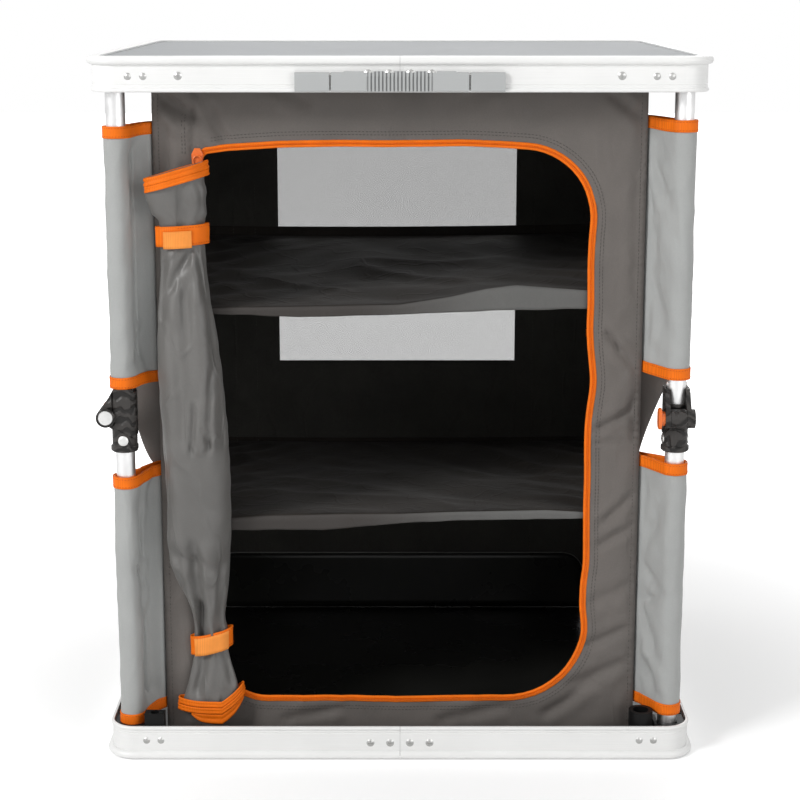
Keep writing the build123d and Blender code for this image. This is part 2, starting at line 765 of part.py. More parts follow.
def sleeve_tapes():
    inner = sleeve_radius + sleeve_cloth + seat_gap
    band = sleeve_band(inner, inner + tape_cloth, sleeve_cloth + seat_gap)
    pieces = []
    for low, high in (lower_sleeve, upper_sleeve):
        pieces += at_all_corners(slab(band, low, low + tape_height))
        pieces += at_all_corners(slab(band, high - tape_height, high))
    return pieces


def sleeve_gussets():
    """The dark triangle of cloth behind each knee, between the two sleeves."""
    y = -cabinet_front + sleeve_back_edge
    top = upper_sleeve[0] - seat_gap
    tip = -leg_x - 4
    edge = -cabinet_half - seat_gap
    outline = make_face(Polyline([(edge, top), (tip, top), (edge, gusset_low)], close=True))
    return at_all_corners(upright(outline, y, y + sleeve_cloth))


# The rolled door from the top down: its middle and half width across, its depth, how far its left
# side stands off the panel, and its level
# Stations of the roll: middle from the door's left edge, half width, depth, stand-off and
# distance below the door's top edge, then the same above its bottom edge
roll_upper = [
    (-24.0, 30.0, 12.0, 12.0, 27.0), (-24.0, 30.0, 12.0, 12.0, 44.0), (-19.5, 25.5, 10.0, 5.0, 72.0),
    (-19.5, 25.5, 10.0, 5.0, 99.0), (-15.0, 33.0, 14.0, 6.0, 152.0), (-15.0, 32.0, 14.0, 5.0, 193.0),
]
roll_lower = [
    (-9.0, 33.0, 15.0, 3.0, 300.0), (-7.0, 34.0, 14.0, 2.0, 217.0), (-3.0, 29.0, 13.0, 1.0, 148.0),
    (4.0, 21.0, 9.0, 0.5, 80.0), (4.0, 21.0, 9.0, 0.5, 55.0), (5.0, 33.0, 11.0, 1.0, 12.0),
    (5.0, 33.0, 11.0, 1.0, -5.0),
]
roll_stations = [(door_left + m, h, d, s, door_high - z) for m, h, d, s, z in roll_upper]
roll_stations += [(door_left + m, h, d, s, door_low + z) for m, h, d, s, z in roll_lower]
upper_tie_drops = (98.0, 73.0)
lower_tie_rises = (56.0, 79.0)
top_tape_drops = (43.0, 28.0)
bottom_tape_rises = (-4.0, 11.0)
slider_drops = (18.0, 4.0)
pull_drops = (25.5, 13.0)
roll_back = cabinet_front + 2 * seat_gap + zip_depth + seat_gap + tape_cloth


def roll_outline(station, grow):
    """Plan of the roll at one station: flat against the panel and in soft folds in front."""
    middle, half, deep, lift, level = station
    across = [-1.0, -0.72, -0.30, 0.12, 0.50, 0.86, 1.0, 0.85, -0.85]
    out = [0.45, 1.05, 1.55, 1.40, 1.60, 1.00, 0.40, 0.0, 0.0]
    stand = [1.0, 0.8, 0.5, 0.3, 0.1, 0.0, 0.0, 0.0, 1.0]
    points = []
    for a, b, c in zip(across, out, stand):
        points.append((middle + a * half, -roll_back - b * deep - c * lift))
    face = make_face(Polyline(points, close=True))
    return offset(face, amount=grow, kind=Kind.ARC) if grow else face


def door_roll():
    return loft([Pos(0, 0, station[4]) * roll_outline(station, 0) for station in roll_stations], ruled=True)


def roll_tape(index, z0, z1):
    """A tape round the roll, at a stretch where its stations are alike."""
    station = roll_stations[index]
    return slab(roll_outline(station, seat_gap + tape_cloth) - roll_outline(station, seat_gap), z0, z1)


def door_ties():
    upper = [door_high - drop for drop in upper_tie_drops]
    lower = [door_low + rise for rise in lower_tie_rises]
    return [roll_tape(2, *upper), roll_tape(9, *lower)]


def door_end_tapes():
    upper = [door_high - drop for drop in top_tape_drops]
    lower = [door_low + rise for rise in bottom_tape_rises]
    return [roll_tape(0, *upper), roll_tape(11, *lower)]


def zip_slider():
    """The slider waits at the top left end of the zip, its pull hanging above the rolled door."""
    x = door_left + 1
    y = -cabinet_front - 2 * seat_gap - zip_depth
    low, high = [door_high - drop for drop in slider_drops]
    pull_low, pull_high = [door_high - drop for drop in pull_drops]
    body = fillet(block(x - 5, x + 5, y - 3, y, low, high).edges().filter_by(Axis.Y), 2)
    return body + block(x - 2.5, x + 2.5, y - 4, y - 2.8, pull_low, pull_high)


# The two ends of the frame

rim_clear = inner_wall + seat_gap


def tray_frame():
    frame = turned_over(bare_frame())
    return frame - rivet_holes(corner_rivet_level) - splice_holes(splice_screw_level)


def top_frame():
    frame = bare_frame() - rivet_holes(height - corner_rivet_level) - splice_holes(height - splice_screw_level)
    for x in (-side_screw_x, side_screw_x):
        y0 = -depth / 2 - 1
        frame = frame - rod(rivet_shank + hole_clearance, y0, y0 + 12, "Y", (x, height - side_screw_level))
    return frame


def side_screws():
    """Two cross-head screws in the top frame's front, each with its nut inside."""
    pieces = []
    for x in (-side_screw_x, side_screw_x):
        screw = fastener(screw_head, rivet_head_height, rivet_shank, frame_wall + nut_height + 1)
        screw = screw - Pos(0, 0, rivet_head_height + 0.1) * cross_slot(screw_head * 0.6, 0.8)
        level = height - side_screw_level
        pieces.append(Pos(x, -depth / 2 + wall_recess, level) * (facing(-1) * screw))
        nut = extrude(RegularPolygon(nut_radius, 6) - Circle(rivet_shank + hole_clearance), amount=nut_height)
        y = -depth / 2 + inner_wall + 0.1
        pieces.append(Pos(x, y, level) * (Rot(-90, 0, 0) * nut))
    return pieces


def top_board():
    return slab(loop_outline(inner_wall + board_gap), height - pan_top, height - board_level)


def top_brackets():
    inset = inner_wall + seat_gap
    pieces = [turned_over(bracket_body(leg, inset, True)) for leg in legs]
    return [piece - rivet_holes(height - corner_rivet_level) for piece in pieces]


def tray_brackets():
    pieces = [bracket_body(leg, bracket_inset, False) for leg in legs]
    return [piece - rivet_holes(corner_rivet_level) for piece in pieces]


os.makedirs("parts", exist_ok=True)


def write(name, shapes):
    """Writes one named node from one solid or a list of separate ones."""
    solids = []
    for shape in shapes if isinstance(shapes, list) else [shapes]:
        solids += shape.solids()
    export_step(Compound(children=solids) if len(solids) > 1 else solids[0], f"parts/{name}.step")


write("tray_frame", tray_frame())
write("tray_splice_plate", splice_plate(splice_screw_level))
write("tray_floor_pan", floor_pan())
write("tray_corner_rivets", corner_rivet_set(corner_rivet_level))
write("tray_splice_screws", splice_screw_set(splice_screw_level))
write("tray_corner_brackets", tray_brackets())
write("tray_pivot_pins", bracket_pins(foot_level, 0))

write("top_frame", top_frame())
write("top_splice_plate", splice_plate(height - splice_screw_level))
write("top_board", top_board())
write("top_corner_rivets", corner_rivet_set(height - corner_rivet_level))
write("top_splice_screws", splice_screw_set(height - splice_screw_level))
write("top_side_screws", side_screws())
write("top_corner_brackets", top_brackets())
write("top_pivot_pins", bracket_pins(head_level, 0))
write("handle_mounts", handle_mounts())
write("handle_pins", handle_pins())
write("handle_grip", handle_grip())

for leg in legs:
    write(f"{leg}_lower_tube", place(lower_tube(), leg))
    write(f"{leg}_lower_knuckle", place(lower_knuckle(), leg))
    write(f"{leg}_knee_pin_and_rivet", [place(piece, leg) for piece in lower_fasteners()])
    write(f"{leg}_upper_tube", place(upper_tube(leg != "front_left"), leg))
    write(f"{leg}_upper_knuckle", place(upper_knuckle(), leg))
    write(f"{leg}_upper_rivet", place(upper_rivet(), leg))
    write(f"{leg}_lock_button", place(lock_button(), leg))

write("front_panel", front_panel())
write("side_walls", side_walls() + sleeve_gussets())
write("back_wall", back_wall())
write("window_mesh", window_mesh())
write("upper_shelf", shelf(upper_shelf_level, 16, -8, 8, -8))
write("lower_shelf", shelf(lower_shelf_level, 0, -4, 5, lower_shelf_back_drop))
write("leg_sleeves", leg_sleeves())
write("sleeve_tapes", sleeve_tapes())
write("door_roll", door_roll())
write("door_ties", door_ties())
write("door_end_tapes", door_end_tapes())
write("zip_tape", zip_tape())
write("zip_slider", zip_slider())
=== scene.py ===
import bpy
import math
import numpy as np
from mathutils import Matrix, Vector, noise
from mathutils.geometry import delaunay_2d_cdt


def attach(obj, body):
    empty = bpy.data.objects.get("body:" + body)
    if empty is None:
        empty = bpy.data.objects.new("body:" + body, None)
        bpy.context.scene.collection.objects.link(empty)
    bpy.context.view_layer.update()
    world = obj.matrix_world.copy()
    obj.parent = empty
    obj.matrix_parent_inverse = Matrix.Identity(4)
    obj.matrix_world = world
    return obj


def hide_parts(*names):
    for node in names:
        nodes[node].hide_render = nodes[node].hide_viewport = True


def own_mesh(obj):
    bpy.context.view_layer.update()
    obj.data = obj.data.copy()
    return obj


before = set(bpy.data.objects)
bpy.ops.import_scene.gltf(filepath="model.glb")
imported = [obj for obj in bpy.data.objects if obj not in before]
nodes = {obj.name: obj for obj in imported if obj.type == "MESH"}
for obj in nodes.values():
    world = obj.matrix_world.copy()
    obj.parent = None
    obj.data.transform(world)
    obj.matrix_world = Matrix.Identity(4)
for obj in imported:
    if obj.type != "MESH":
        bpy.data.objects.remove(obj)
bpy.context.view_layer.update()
MM = 0.001
TAU = 2 * math.pi

# Sizes in millimetres, as in the part's source
DEPTH = 500.0
LEG_X = 274.0
LEG_Y = 220.0
CABINET = 242.0
FRONT = 197.0
CABINET_LOW = 8.0
CABINET_TOP = 702.4
GUSSET_LOW = 302.0
# Left, right, lower and upper edge
DOOR = (-196.0, 191.0, 45.5, 616.0)
WINDOW = (-147.0, 140.0, 321.0, 652.0)
# Radii at top left, top right, bottom right and bottom left
DOOR_CORNERS = (8.0, 66.0, 84.0, 60.0)
# Thickness of the cloth, and how far inside its plane a wall hangs
CLOTH = 1.0
INNER = 0.8
# Size of the triangles in the front panel and the back wall, and of the steps in a stitched line
PANEL_STEP = 4.0
WALL_STEP = 7.0
SEAM_STEP = 6.0
# Materials of a lined cloth: outside, inside and rim
LINED = ["cloth", "inside", "cloth"]
# How the door's upper edge bows. A table of two lists gives places, then the values there.
DOOR_RISE = ([-200, -170, -120, -60, 60, 140, 200], [-3.5, 0.5, 3.5, 4.5, 5.0, 1.5, -1.5])
# How far the door's edge strays from its cut on the right, by height
STRAY = ([110, 126, 142, 158, 174, 190, 253, 285, 316, 331, 347, 362,
          378, 394, 409, 425, 441, 457, 471, 502, 532, 547, 562, 600],
         [0.0, -1.0, -3.4, -3.6, -2.6, -0.2, -1.5, -1.0, -1.9, -1.8, -0.9, 1.0,
          3.3, 2.4, 0.5, -1.0, -1.8, -1.0, -1.3, -2.0, -1.0, 0.6, -1.0, 0.0])


def wobble(x, y, z, scale, seed=0.0):
    """Smooth noise from about -1 to 1 whose lumps are as wide as the scale, in millimetres."""
    return noise.noise(Vector((x / scale + seed * 7.3, y / scale - seed * 3.1, z / scale + seed * 5.7)))


def ridge(x, y, z, scale, seed=0.0):
    """Noise that comes to narrow crests, from 0 to 1, for pressed-in creases."""
    return (1 - min(1.0, 2.2 * abs(wobble(x, y, z, scale, seed)))) ** 3


def smooth(a, b, t):
    """0 at a, 1 at b, clamped beyond them and an easy slope between."""
    t = min(1.0, max(0.0, (t - a) / (b - a)))
    return t * t * (3 - 2 * t)


def bell(t, width):
    """1 at 0, and about a third where t is the width."""
    return math.exp(-(t / width) ** 2)


def at(x, table):
    """The value that a table gives at x."""
    return float(np.interp(x, *table))


# Shader helpers

class Value:
    """A number or vector from a shader node, for use in ordinary arithmetic."""

    def __init__(self, net, socket):
        self.net = net
        self.socket = socket

    def math(self, operation, *others):
        return self.net.node("Math", [self, *others], operation=operation)

    def __add__(self, other):
        return self.math("ADD", other)

    def __sub__(self, other):
        return self.math("SUBTRACT", other)

    def __rsub__(self, other):
        return self.net.node("Math", [other, self], operation="SUBTRACT")

    def __mul__(self, other):
        return self.math("MULTIPLY", other)

    __radd__ = __add__
    __rmul__ = __mul__

    def sin(self):
        return self.math("SINE")

    def ramp(self, low, high, to_low=0.0, to_high=1.0):
        """This value moved from one range to another, smoothly and clamped."""
        return self.net.node("MapRange", [self, low, high, to_low, to_high], interpolation_type="SMOOTHSTEP")

    def around(self, middle, less, more):
        """This noise as a value from a little less than the middle to a little more."""
        return self.ramp(0.3, 0.7, middle - less, middle + more)


class Tree:
    """The shader nodes of a material or a world."""

    def __init__(self, owner):
        owner.use_nodes = True
        self.tree = owner.node_tree

    def node(self, kind, inputs=(), output=0, **settings):
        made = self.tree.nodes.new("ShaderNode" + kind)
        for key, value in settings.items():
            setattr(made, key, value)
        pairs = inputs.items() if isinstance(inputs, dict) else enumerate(inputs)
        for key, value in pairs:
            self.feed(made.inputs[key], value)
        return Value(self, made.outputs[output])

    def feed(self, port, value):
        if isinstance(value, Value):
            self.tree.links.new(value.socket, port)
        elif port.type == "RGBA" and len(value) == 3:
            port.default_value = (*value, 1.0)
        else:
            port.default_value = value


class Net(Tree):
    """One material: its principled shader and the nodes that feed it."""

    def __init__(self, name, color, roughness, **settings):
        self.material = bpy.data.materials.new(name)
        super().__init__(self.material)
        self.shader = self.tree.nodes["Principled BSDF"]
        self.color = color
        self.set("Base Color", color)
        self.set("Roughness", roughness)
        for key, value in settings.items():
            self.set(key.replace("_", " ").title().replace("Ior", "IOR"), value)

    def set(self, name, value):
        self.feed(self.shader.inputs[name], value)

    def place(self, stretch=(1.0, 1.0, 1.0)):
        """Object coordinates in millimetres, scaled along each axis."""
        where = self.node("TexCoord", output="Object")
        return self.node("Mapping", {"Vector": where, "Scale": tuple(1000.0 * s for s in stretch)})

    def axes(self):
        first = self.node("SeparateXYZ", [self.place()])
        return [Value(self, out) for out in first.socket.node.outputs]

    def noise(self, size, detail=3.0, stretch=(1.0, 1.0, 1.0)):
        """Noise from 0 to 1 whose lumps are about that many millimetres."""
        inputs = {"Vector": self.place(stretch), "Scale": 1.0 / size, "Detail": detail, "Roughness": 0.55}
        return self.node("TexNoise", inputs)

    def mix(self, fac, a, b):
        """Colour a where fac is 0 and b where it is 1. The sockets go by number, as their names repeat."""
        return self.node("Mix", {0: fac, 6: a, 7: b}, output=2, data_type="RGBA")

    def dress(self, relief, distance, strength, roughness, tone, dark, light):
        """The material with a bump whose full height is the distance in millimetres, and with a colour that
        goes with the tone from one shade of its own to another."""
        bump = self.node("Bump", {"Height": relief, "Distance": distance * MM, "Strength": strength})
        self.set("Normal", bump)
        self.set("Roughness", roughness)
        # For the grip and the knuckles the tone is painted shade in their grooves; for the others it is
        # uneven tone
        self.dye_and_shade = self.mix(tone, shade(self.color, dark), shade(self.color, light))
        self.set("Base Color", self.dye_and_shade)
        return self.material


def shade(color, factor):
    """A colour made darker or lighter."""
    return tuple(min(1.0, c * factor) for c in color)


def woven(name, color, roughness, coat=0.0, mottle=0.10, sheen=0.15, slack=1.0, gloss=0.4, crisp=0.3,
          fade=None, thread=1.1):
    """Plain cloth: crossed threads, soft and pressed creases and slightly uneven dye. Fade gives two X
    positions and the colour that it turns to from the first to the second, as painted shade."""
    net = Net(name, color, roughness, sheen_weight=sheen, sheen_roughness=0.4, coat_weight=coat,
              coat_roughness=0.3, specular_ior_level=gloss)
    x, y, z = net.axes()
    turn = TAU / thread
    weave = (z * turn).sin() * ((x + y) * turn).sin() * 0.5 + 0.5
    fuzz = net.noise(1.3, 2.0)
    crease = net.noise(26.0, 4.0, (1.0, 1.0, 0.45))
    fold = (net.noise(55.0, 1.5, (1.2, 1.2, 0.5)) - 0.5).math("ABSOLUTE").ramp(0.0, 0.035)
    patch = net.noise(60.0, 4.0)
    tone = (patch * 0.7 + fuzz * 0.3).ramp(0.3, 0.7)
    net.dress(weave * 0.10 + fuzz * 0.14 + crease * slack - fold * crisp, 1.0, 0.6,
              patch.around(roughness, 0.06, 0.06), tone, 1 - mottle, 1 + mottle)
    # Painted shade: the colour turns to fade's colour along X
    if fade:
        net.set("Base Color", net.mix(x.ramp(fade[0], fade[1]), net.dye_and_shade, fade[2]))
    return net.material


def webbing(name, color):
    """Woven tape: fine ribs across and along it."""
    net = Net(name, color, 0.62, specular_ior_level=0.22)
    x, y, z = net.axes()
    ribs = ((x + y) * (TAU / 1.5)).sin() * 0.5 + 0.5
    rows = (z * (TAU / 1.1)).sin() * 0.5 + 0.5
    tone = (net.noise(14.0, 3.0) * 0.6 + ribs * 0.25).ramp(0.2, 0.8)
    return net.dress(ribs * 0.25 + rows * 0.2 + net.noise(1.0, 2.0) * 0.3, 0.35, 0.7, 0.62, tone, 0.86, 1.10)


def moulded(name, color, roughness, grain=0.8, wear=0.2, coat=0.0, gloss=0.5):
    """Moulded plastic with a fine grain and faint rubbed patches."""
    net = Net(name, color, roughness, coat_weight=coat, coat_roughness=0.12, specular_ior_level=gloss)
    fine = net.noise(grain, 2.0)
    broad = net.noise(18.0, 4.0)
    return net.dress(fine * 0.6 + broad * 0.4, 0.12, 0.5,
                     (fine * 0.4 + broad * 0.6).around(roughness, 0.08, 0.1),
                     broad.ramp(0.55, 0.8, 0.0, wear), 1.0, 1.8)


def swirled(name, color):
    """The knuckles' moulding, with flowing grip lines pressed into its sides and painted shade in those
    lines.
    """
    net = Net(name, color, 0.42, specular_ior_level=0.3)
    bands = net.node("TexWave", {"Vector": net.place((1.0, 1.0, 0.6)), "Scale": 0.045, "Distortion": 9.0,
                                 "Detail": 1.0, "Detail Scale": 1.4}, bands_direction="Z")
    fine = net.noise(0.7, 2.0)
    # The pressed lines take 0.4 of the black and the rest 1.2: painted shade in the lines
    return net.dress(bands.ramp(0.1, 0.75) * 0.95 + fine * 0.05, 1.5, 1.0, fine.ramp(0.3, 0.7, 0.36, 0.5),
                     bands.ramp(0.1, 0.5), 0.4, 1.2)


def ribbed(name, color, pitch, half):
    """The grip's moulding, with painted shade in the grooves between the ribs in the middle of its front
    face.
    """
    net = Net(name, color, 0.42)
    x, y, z = net.axes()
    groove = ((x - pitch / 2) * (TAU / pitch)).math("COSINE").ramp(0.1, 0.7)
    groove = groove * x.math("ABSOLUTE").ramp(half, half - 0.6) * y.ramp(1.4 - DEPTH / 2, 0.7 - DEPTH / 2)
    fine = net.noise(0.8, 2.0)
    # The grooves take 0.3 of the grey: painted shade.
    return net.dress(fine * 0.3 - groove, 0.15, 0.5, fine.ramp(0.3, 0.7, 0.38, 0.5), groove, 1.0, 0.30)


def extruded(name, color, roughness):
    """Frame bar: paint over drawn metal, with faint lines along it."""
    net = Net(name, color, roughness, coat_weight=0.15, coat_roughness=0.25)
    lines = net.noise(1.0, 2.0, (0.012, 0.012, 1.4))
    spread = net.noise(90.0, 3.0)
    return net.dress(lines * 0.7 + net.noise(1.2, 1.0) * 0.3, 0.10, 0.5,
                     (lines * 0.5 + spread * 0.5).around(roughness, 0.07, 0.08),
                     (lines * 0.4 + spread * 0.6).ramp(0.3, 0.7), 0.96, 1.03)


def metal(name, color, roughness, stretch=(1.0, 1.0, 1.0)):
    net = Net(name, color, roughness, metallic=1.0)
    brushed = net.noise(0.6, 3.0, stretch)
    cloud = net.noise(30.0, 3.0)
    return net.dress(brushed, 0.05, 0.5, (brushed * 0.5 + cloud * 0.5).around(roughness, 0.07, 0.1),
                     cloud.ramp(0.3, 0.7), 0.93, 1.05)


def table_top(name, color):
    """Grey coated sheet with a fine speckle and faint scuffs."""
    net = Net(name, color, 0.6, specular_ior_level=0.12)
    speck = net.noise(0.9, 2.0)
    scuff = net.noise(6.0, 5.0, (0.25, 1.6, 1.0))
    cloud = net.noise(150.0, 3.0)
    return net.dress(speck, 0.08, 0.5, (scuff * 0.6 + cloud * 0.4).ramp(0.35, 0.65, 0.56, 0.70),
                     (speck * 0.5 + cloud * 0.5).ramp(0.3, 0.7), 0.93, 1.05)


def gloss_sheet(name, color):
    net = Net(name, color, 0.26, specular_ior_level=0.3)
    cloud = net.noise(120.0, 4.0)
    return net.dress(net.noise(5.0, 2.0) * 0.3 + cloud * 0.7, 0.25, 0.4, cloud.ramp(0.3, 0.7, 0.22, 0.36),
                     cloud.ramp(0.35, 0.75), 1.0, 1.7)


def mesh_cloth(name, color, pitch):
    """Ventilation mesh: staggered holes that let the light through."""
    net = Net(name, color, 0.6)
    x, y, z = net.axes()
    turn = TAU / pitch
    holes = ((x + z) * turn).sin() * ((x - z) * turn).sin()
    net.set("Alpha", holes.math("ABSOLUTE").ramp(0.15, 0.62, 1.0, 0.46))
    return net.dress(holes, 0.15, 0.4, 0.6, net.noise(20.0, 3.0).ramp(0.3, 0.7), 0.92, 1.06)


CHARCOAL = (0.126, 0.113, 0.104)
ROLL_GREY = (0.120, 0.116, 0.110)
# The wall lining and the shelves: the cloth's black coating, made darker still as painted shade inside the
# cabinet
LINING_AND_SHADE = (0.048, 0.046, 0.041)
SHELF_BLACK_AND_SHADE = (0.026, 0.022, 0.019)
SILVER = (0.355, 0.362, 0.355)
ORANGE = (0.86, 0.170, 0.004)
HANDLE = (0.40, 0.41, 0.41)
# The shelf hems darken towards the left, from X 110 to -60: painted shade
HEM_PAINTED_SHADE = (110.0, -60.0, (0.036, 0.031, 0.028))
# The pitch of the grip's ribs and half the width that they take up
GRIP_RIBS = (3.6, 31.0)

MAT = {
    "cloth": woven("Charcoal_Cloth", CHARCOAL, 0.72),
    "inside": woven("Black_Lining_And_Shade", LINING_AND_SHADE, 0.72, mottle=0.25, sheen=0.04, gloss=0.2, crisp=0.5),
    "shelf": woven("Black_Shelf_Cloth_And_Shade", SHELF_BLACK_AND_SHADE, 0.72, mottle=0.35, sheen=0.05, gloss=0.2, crisp=0.6),
    "hem": woven("Shelf_Hem_Cloth", (0.105, 0.104, 0.100), 0.62, fade=HEM_PAINTED_SHADE),
    "roll": woven("Door_Cloth", ROLL_GREY, 0.46, coat=0.12, crisp=0.9, gloss=0.5),
    "sleeve": woven("Silver_Cloth", SILVER, 0.66, mottle=0.05, slack=0.6, thread=1.0),
    "tape": webbing("Orange_Tape", ORANGE),
    "teeth": moulded("Orange_Zip_Teeth", shade(ORANGE, 0.95), 0.4, 0.5),
    "frame": extruded("Frame_Paint", (0.80, 0.80, 0.79), 0.36),
    # The same paint as the top frame, a little darker: painted shade on the lower frame
    "tray": extruded("Shaded_Tray_Paint", (0.78, 0.78, 0.77), 0.36),
    "board": table_top("Table_Top_Grey", (0.35, 0.36, 0.37)),
    "pan": gloss_sheet("Floor_Pan_Black", (0.011, 0.011, 0.010)),
    # Light grey piping on the black liner: a painted highlight along its top edge
    "piping": moulded("Liner_Piping_Painted_Highlight", (0.20, 0.20, 0.19), 0.35, 0.5),
    "black": moulded("Black_Moulding", (0.007, 0.007, 0.007), 0.42, gloss=0.14),
    "knuckle": swirled("Knuckle_Moulding", (0.036, 0.033, 0.031)),
    "button": moulded("Orange_Button", (0.80, 0.16, 0.02), 0.34, coat=0.15, wear=0.08),
    "handle": moulded("Handle_Moulding", HANDLE, 0.42, wear=0.08),
    "grip": ribbed("Grip_Moulding", HANDLE, *GRIP_RIBS),
    "tube": metal("Leg_Tube", (0.90, 0.90, 0.90), 0.38, (1.0, 1.0, 0.02)),
    "bright": metal("Bright_Steel", (0.78, 0.78, 0.77), 0.34),
    "steel": metal("Plated_Steel", (0.48, 0.48, 0.47), 0.34),
    "mesh": mesh_cloth("Window_Mesh", (0.16, 0.16, 0.16), 2.6),
    "strap": webbing("Pale_Orange_Strap", (0.88, 0.30, 0.055)),
    "thread": moulded("Sewing_Thread", (0.06, 0.055, 0.05), 0.8, 0.3),
    "orange_thread": moulded("Orange_Thread", (0.50, 0.07, 0.005), 0.8, 0.3),
}


# Mesh helpers

def metres(points):
    return [(x * MM, y * MM, z * MM) for x, y, z in points]


def put(name, data):
    """A new object in the scene."""
    obj = bpy.data.objects.new(name, data)
    bpy.context.scene.collection.objects.link(obj)
    return obj


def make(name, points, faces, slot, materials, smooth_faces=True, body="tray"):
    """A piece from points in millimetres. It rides on a body. The slot argument is not used."""
    mesh = bpy.data.meshes.new(name)
    mesh.from_pydata(metres(points), [], faces)
    mesh.validate()
    obj = put(name, mesh)
    for material in materials:
        mesh.materials.append(MAT[material])
    mesh.polygons.foreach_set("use_smooth", [smooth_faces] * len(mesh.polygons))
    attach(obj, body)
    return obj


def settle(obj):
    """Applies every modifier to the mesh."""
    bpy.context.view_layer.update()
    graph = bpy.context.evaluated_depsgraph_get()
    mesh = bpy.data.meshes.new_from_object(obj.evaluated_get(graph))
    old = obj.data
    obj.modifiers.clear()
    obj.data = mesh
    bpy.data.meshes.remove(old)
    return obj


def thicken(obj, thickness, inner=0, rim=0, offset=0.0):
    """Gives a sheet its thickness. The inner side and the rim may take the piece's other materials."""
    solid = obj.modifiers.new("thickness", "SOLIDIFY")
    solid.thickness = thickness * MM
    solid.offset = offset
    solid.material_offset = inner
    solid.material_offset_rim = rim
    solid.use_even_offset = False
    return settle(obj)


def quads(rows, count, closed=True):
    """Faces between rows of count points each, which close to rings or not."""
    faces = []
    for j in range(rows - 1):
        for i in range(count if closed else count - 1):
            a = j * count + i
            b = j * count + (i + 1) % count
            faces.append((a, b, b + count, a + count))
    return faces


def flipped(faces):
    return [tuple(reversed(face)) for face in faces]


def grid(columns, rows, place, closed=False):
    """A sheet of columns by rows, each point given by place(u, v) with both from 0 to 1."""
    across = columns if closed else columns + 1
    points = [place(i / columns, j / rows) for j in range(rows + 1) for i in range(across)]
    return points, quads(rows + 1, across, closed)


def tube_mesh(path, radius, sides=8):
    """A thin round strand along points, in millimetres."""
    points = []
    path = [Vector(p) for p in path]
    for k, point in enumerate(path):
        ahead = (path[min(k + 1, len(path) - 1)] - path[max(k - 1, 0)]).normalized()
        side = ahead.cross(Vector((0, 1, 0)) if abs(ahead.y) < 0.9 else Vector((1, 0, 0))).normalized()
        up = side.cross(ahead)
        for s in range(sides):
            turn = TAU * s / sides
            points.append(tuple(point + radius * (math.cos(turn) * side + math.sin(turn) * up)))
    return points, quads(len(path), sides)


def row_group():
    """Geometry nodes that set a small rounded bead at every step along a line."""
    group = bpy.data.node_groups.new("Row", "GeometryNodeTree")
    sockets = group.interface
    sockets.new_socket("Geometry", in_out="INPUT", socket_type="NodeSocketGeometry")
    ids = {}
    for name, kind in (("Spacing", "Float"), ("Size", "Vector"), ("Material", "Material")):
        ids[name] = sockets.new_socket(name, in_out="INPUT", socket_type="NodeSocket" + kind).identifier
    sockets.new_socket("Geometry", in_out="OUTPUT", socket_type="NodeSocketGeometry")
    made = {}
    for kind in ("NodeGroupInput", "MeshToCurve", "CurveToPoints", "MeshUVSphere", "InstanceOnPoints",
                 "RealizeInstances", "SetMaterial", "NodeGroupOutput"):
        made[kind] = group.nodes.new(kind if kind.startswith("Node") else "GeometryNode" + kind)
    start, curve, points, bead, place, real, paint, end = made.values()
    points.mode = "LENGTH"
    for name, value in (("Segments", 6), ("Rings", 4), ("Radius", 1.0)):
        bead.inputs[name].default_value = value
    chain = (start, curve, points, place, real, paint, end)
    for a, b in zip(chain, chain[1:]):
        group.links.new(a.outputs[0], b.inputs[0])
    for a, out, b, port in ((start, "Spacing", points, "Length"), (points, "Rotation", place, "Rotation"),
                            (bead, "Mesh", place, "Instance"), (start, "Size", place, "Scale"),
                            (start, "Material", paint, "Material")):
        group.links.new(a.outputs[out], b.inputs[port])
    return group, ids


ROW, ROW_IDS = row_group()


def row_of(name, lines, spacing, size, material):
    """Beads along lines, such as stitches or zip teeth. Sizes in millimetres: across, out and along."""
    points = []
    edges = []
    for line in lines:
        start = len(points)
        points += metres(line)
        edges += [(start + k, start + k + 1) for k in range(len(line) - 1)]
    mesh = bpy.data.meshes.new(name)
    mesh.from_pydata(points, edges, [])
    obj = put(name, mesh)
    beads = obj.modifiers.new("row", "NODES")
    beads.node_group = ROW
    beads[ROW_IDS["Spacing"]] = spacing * MM
    beads[ROW_IDS["Size"]] = [v * MM for v in size]
    beads[ROW_IDS["Material"]] = MAT[material]
    settle(obj)
    obj.data.polygons.foreach_set("use_smooth", [True] * len(obj.data.polygons))
    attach(obj, "tray")
    return obj


def seams(coil):
    """Stitching on the front panel, round the window and along the zip, and the zip's teeth."""
    rows = [[p for p in door_line(grow) if p[0] > -184] for grow in (8.5, 11.5)]
    for x, low, high in ((-213, 612, 652), (-210, 612, 652), (-236, 14, 698), (236, 14, 698)):
        rows.append([(x, z) for z in np.arange(low, high, SEAM_STEP)])
    for z in (684, 690):
        rows.append([(x, z) for x in np.arange(-236, 236, SEAM_STEP)])
    rows.append([(-207 + 0.6 * math.sin(z / 30), z) for z in np.arange(14, 600, SEAM_STEP)])
    panel = [[(x, panel_front(x, z) - 0.65, z) for x, z in row] for row in rows]
    teeth = [[(x, y - 0.35, z) for x, y, z in coil]]
    x0, x1, z0, z1 = WINDOW
    frame_line = resample([(x0 - 5, z1 + 5), (x1 + 5, z1 + 5), (x1 + 5, z0 - 5), (x0 - 5, z0 - 5)], 5)
    rings = [[(x, FRONT + 0.9, z) for x, z in frame_line + frame_line[:1]]]
    for x in (-229, -201, -175, 162, 225):
        rings.append([(x, FRONT - 2.0, z) for z in np.arange(80, 698, SEAM_STEP)])
    return [row_of("front_panel_stitches", panel, 3.6, (0.32, 0.32, 1.25), "thread"),
            row_of("door_zip_teeth", teeth, 1.5, (1.15, 0.55, 0.52), "teeth"),
            row_of("back_wall_stitches", rings, 3.8, (0.35, 0.35, 1.3), "thread")]


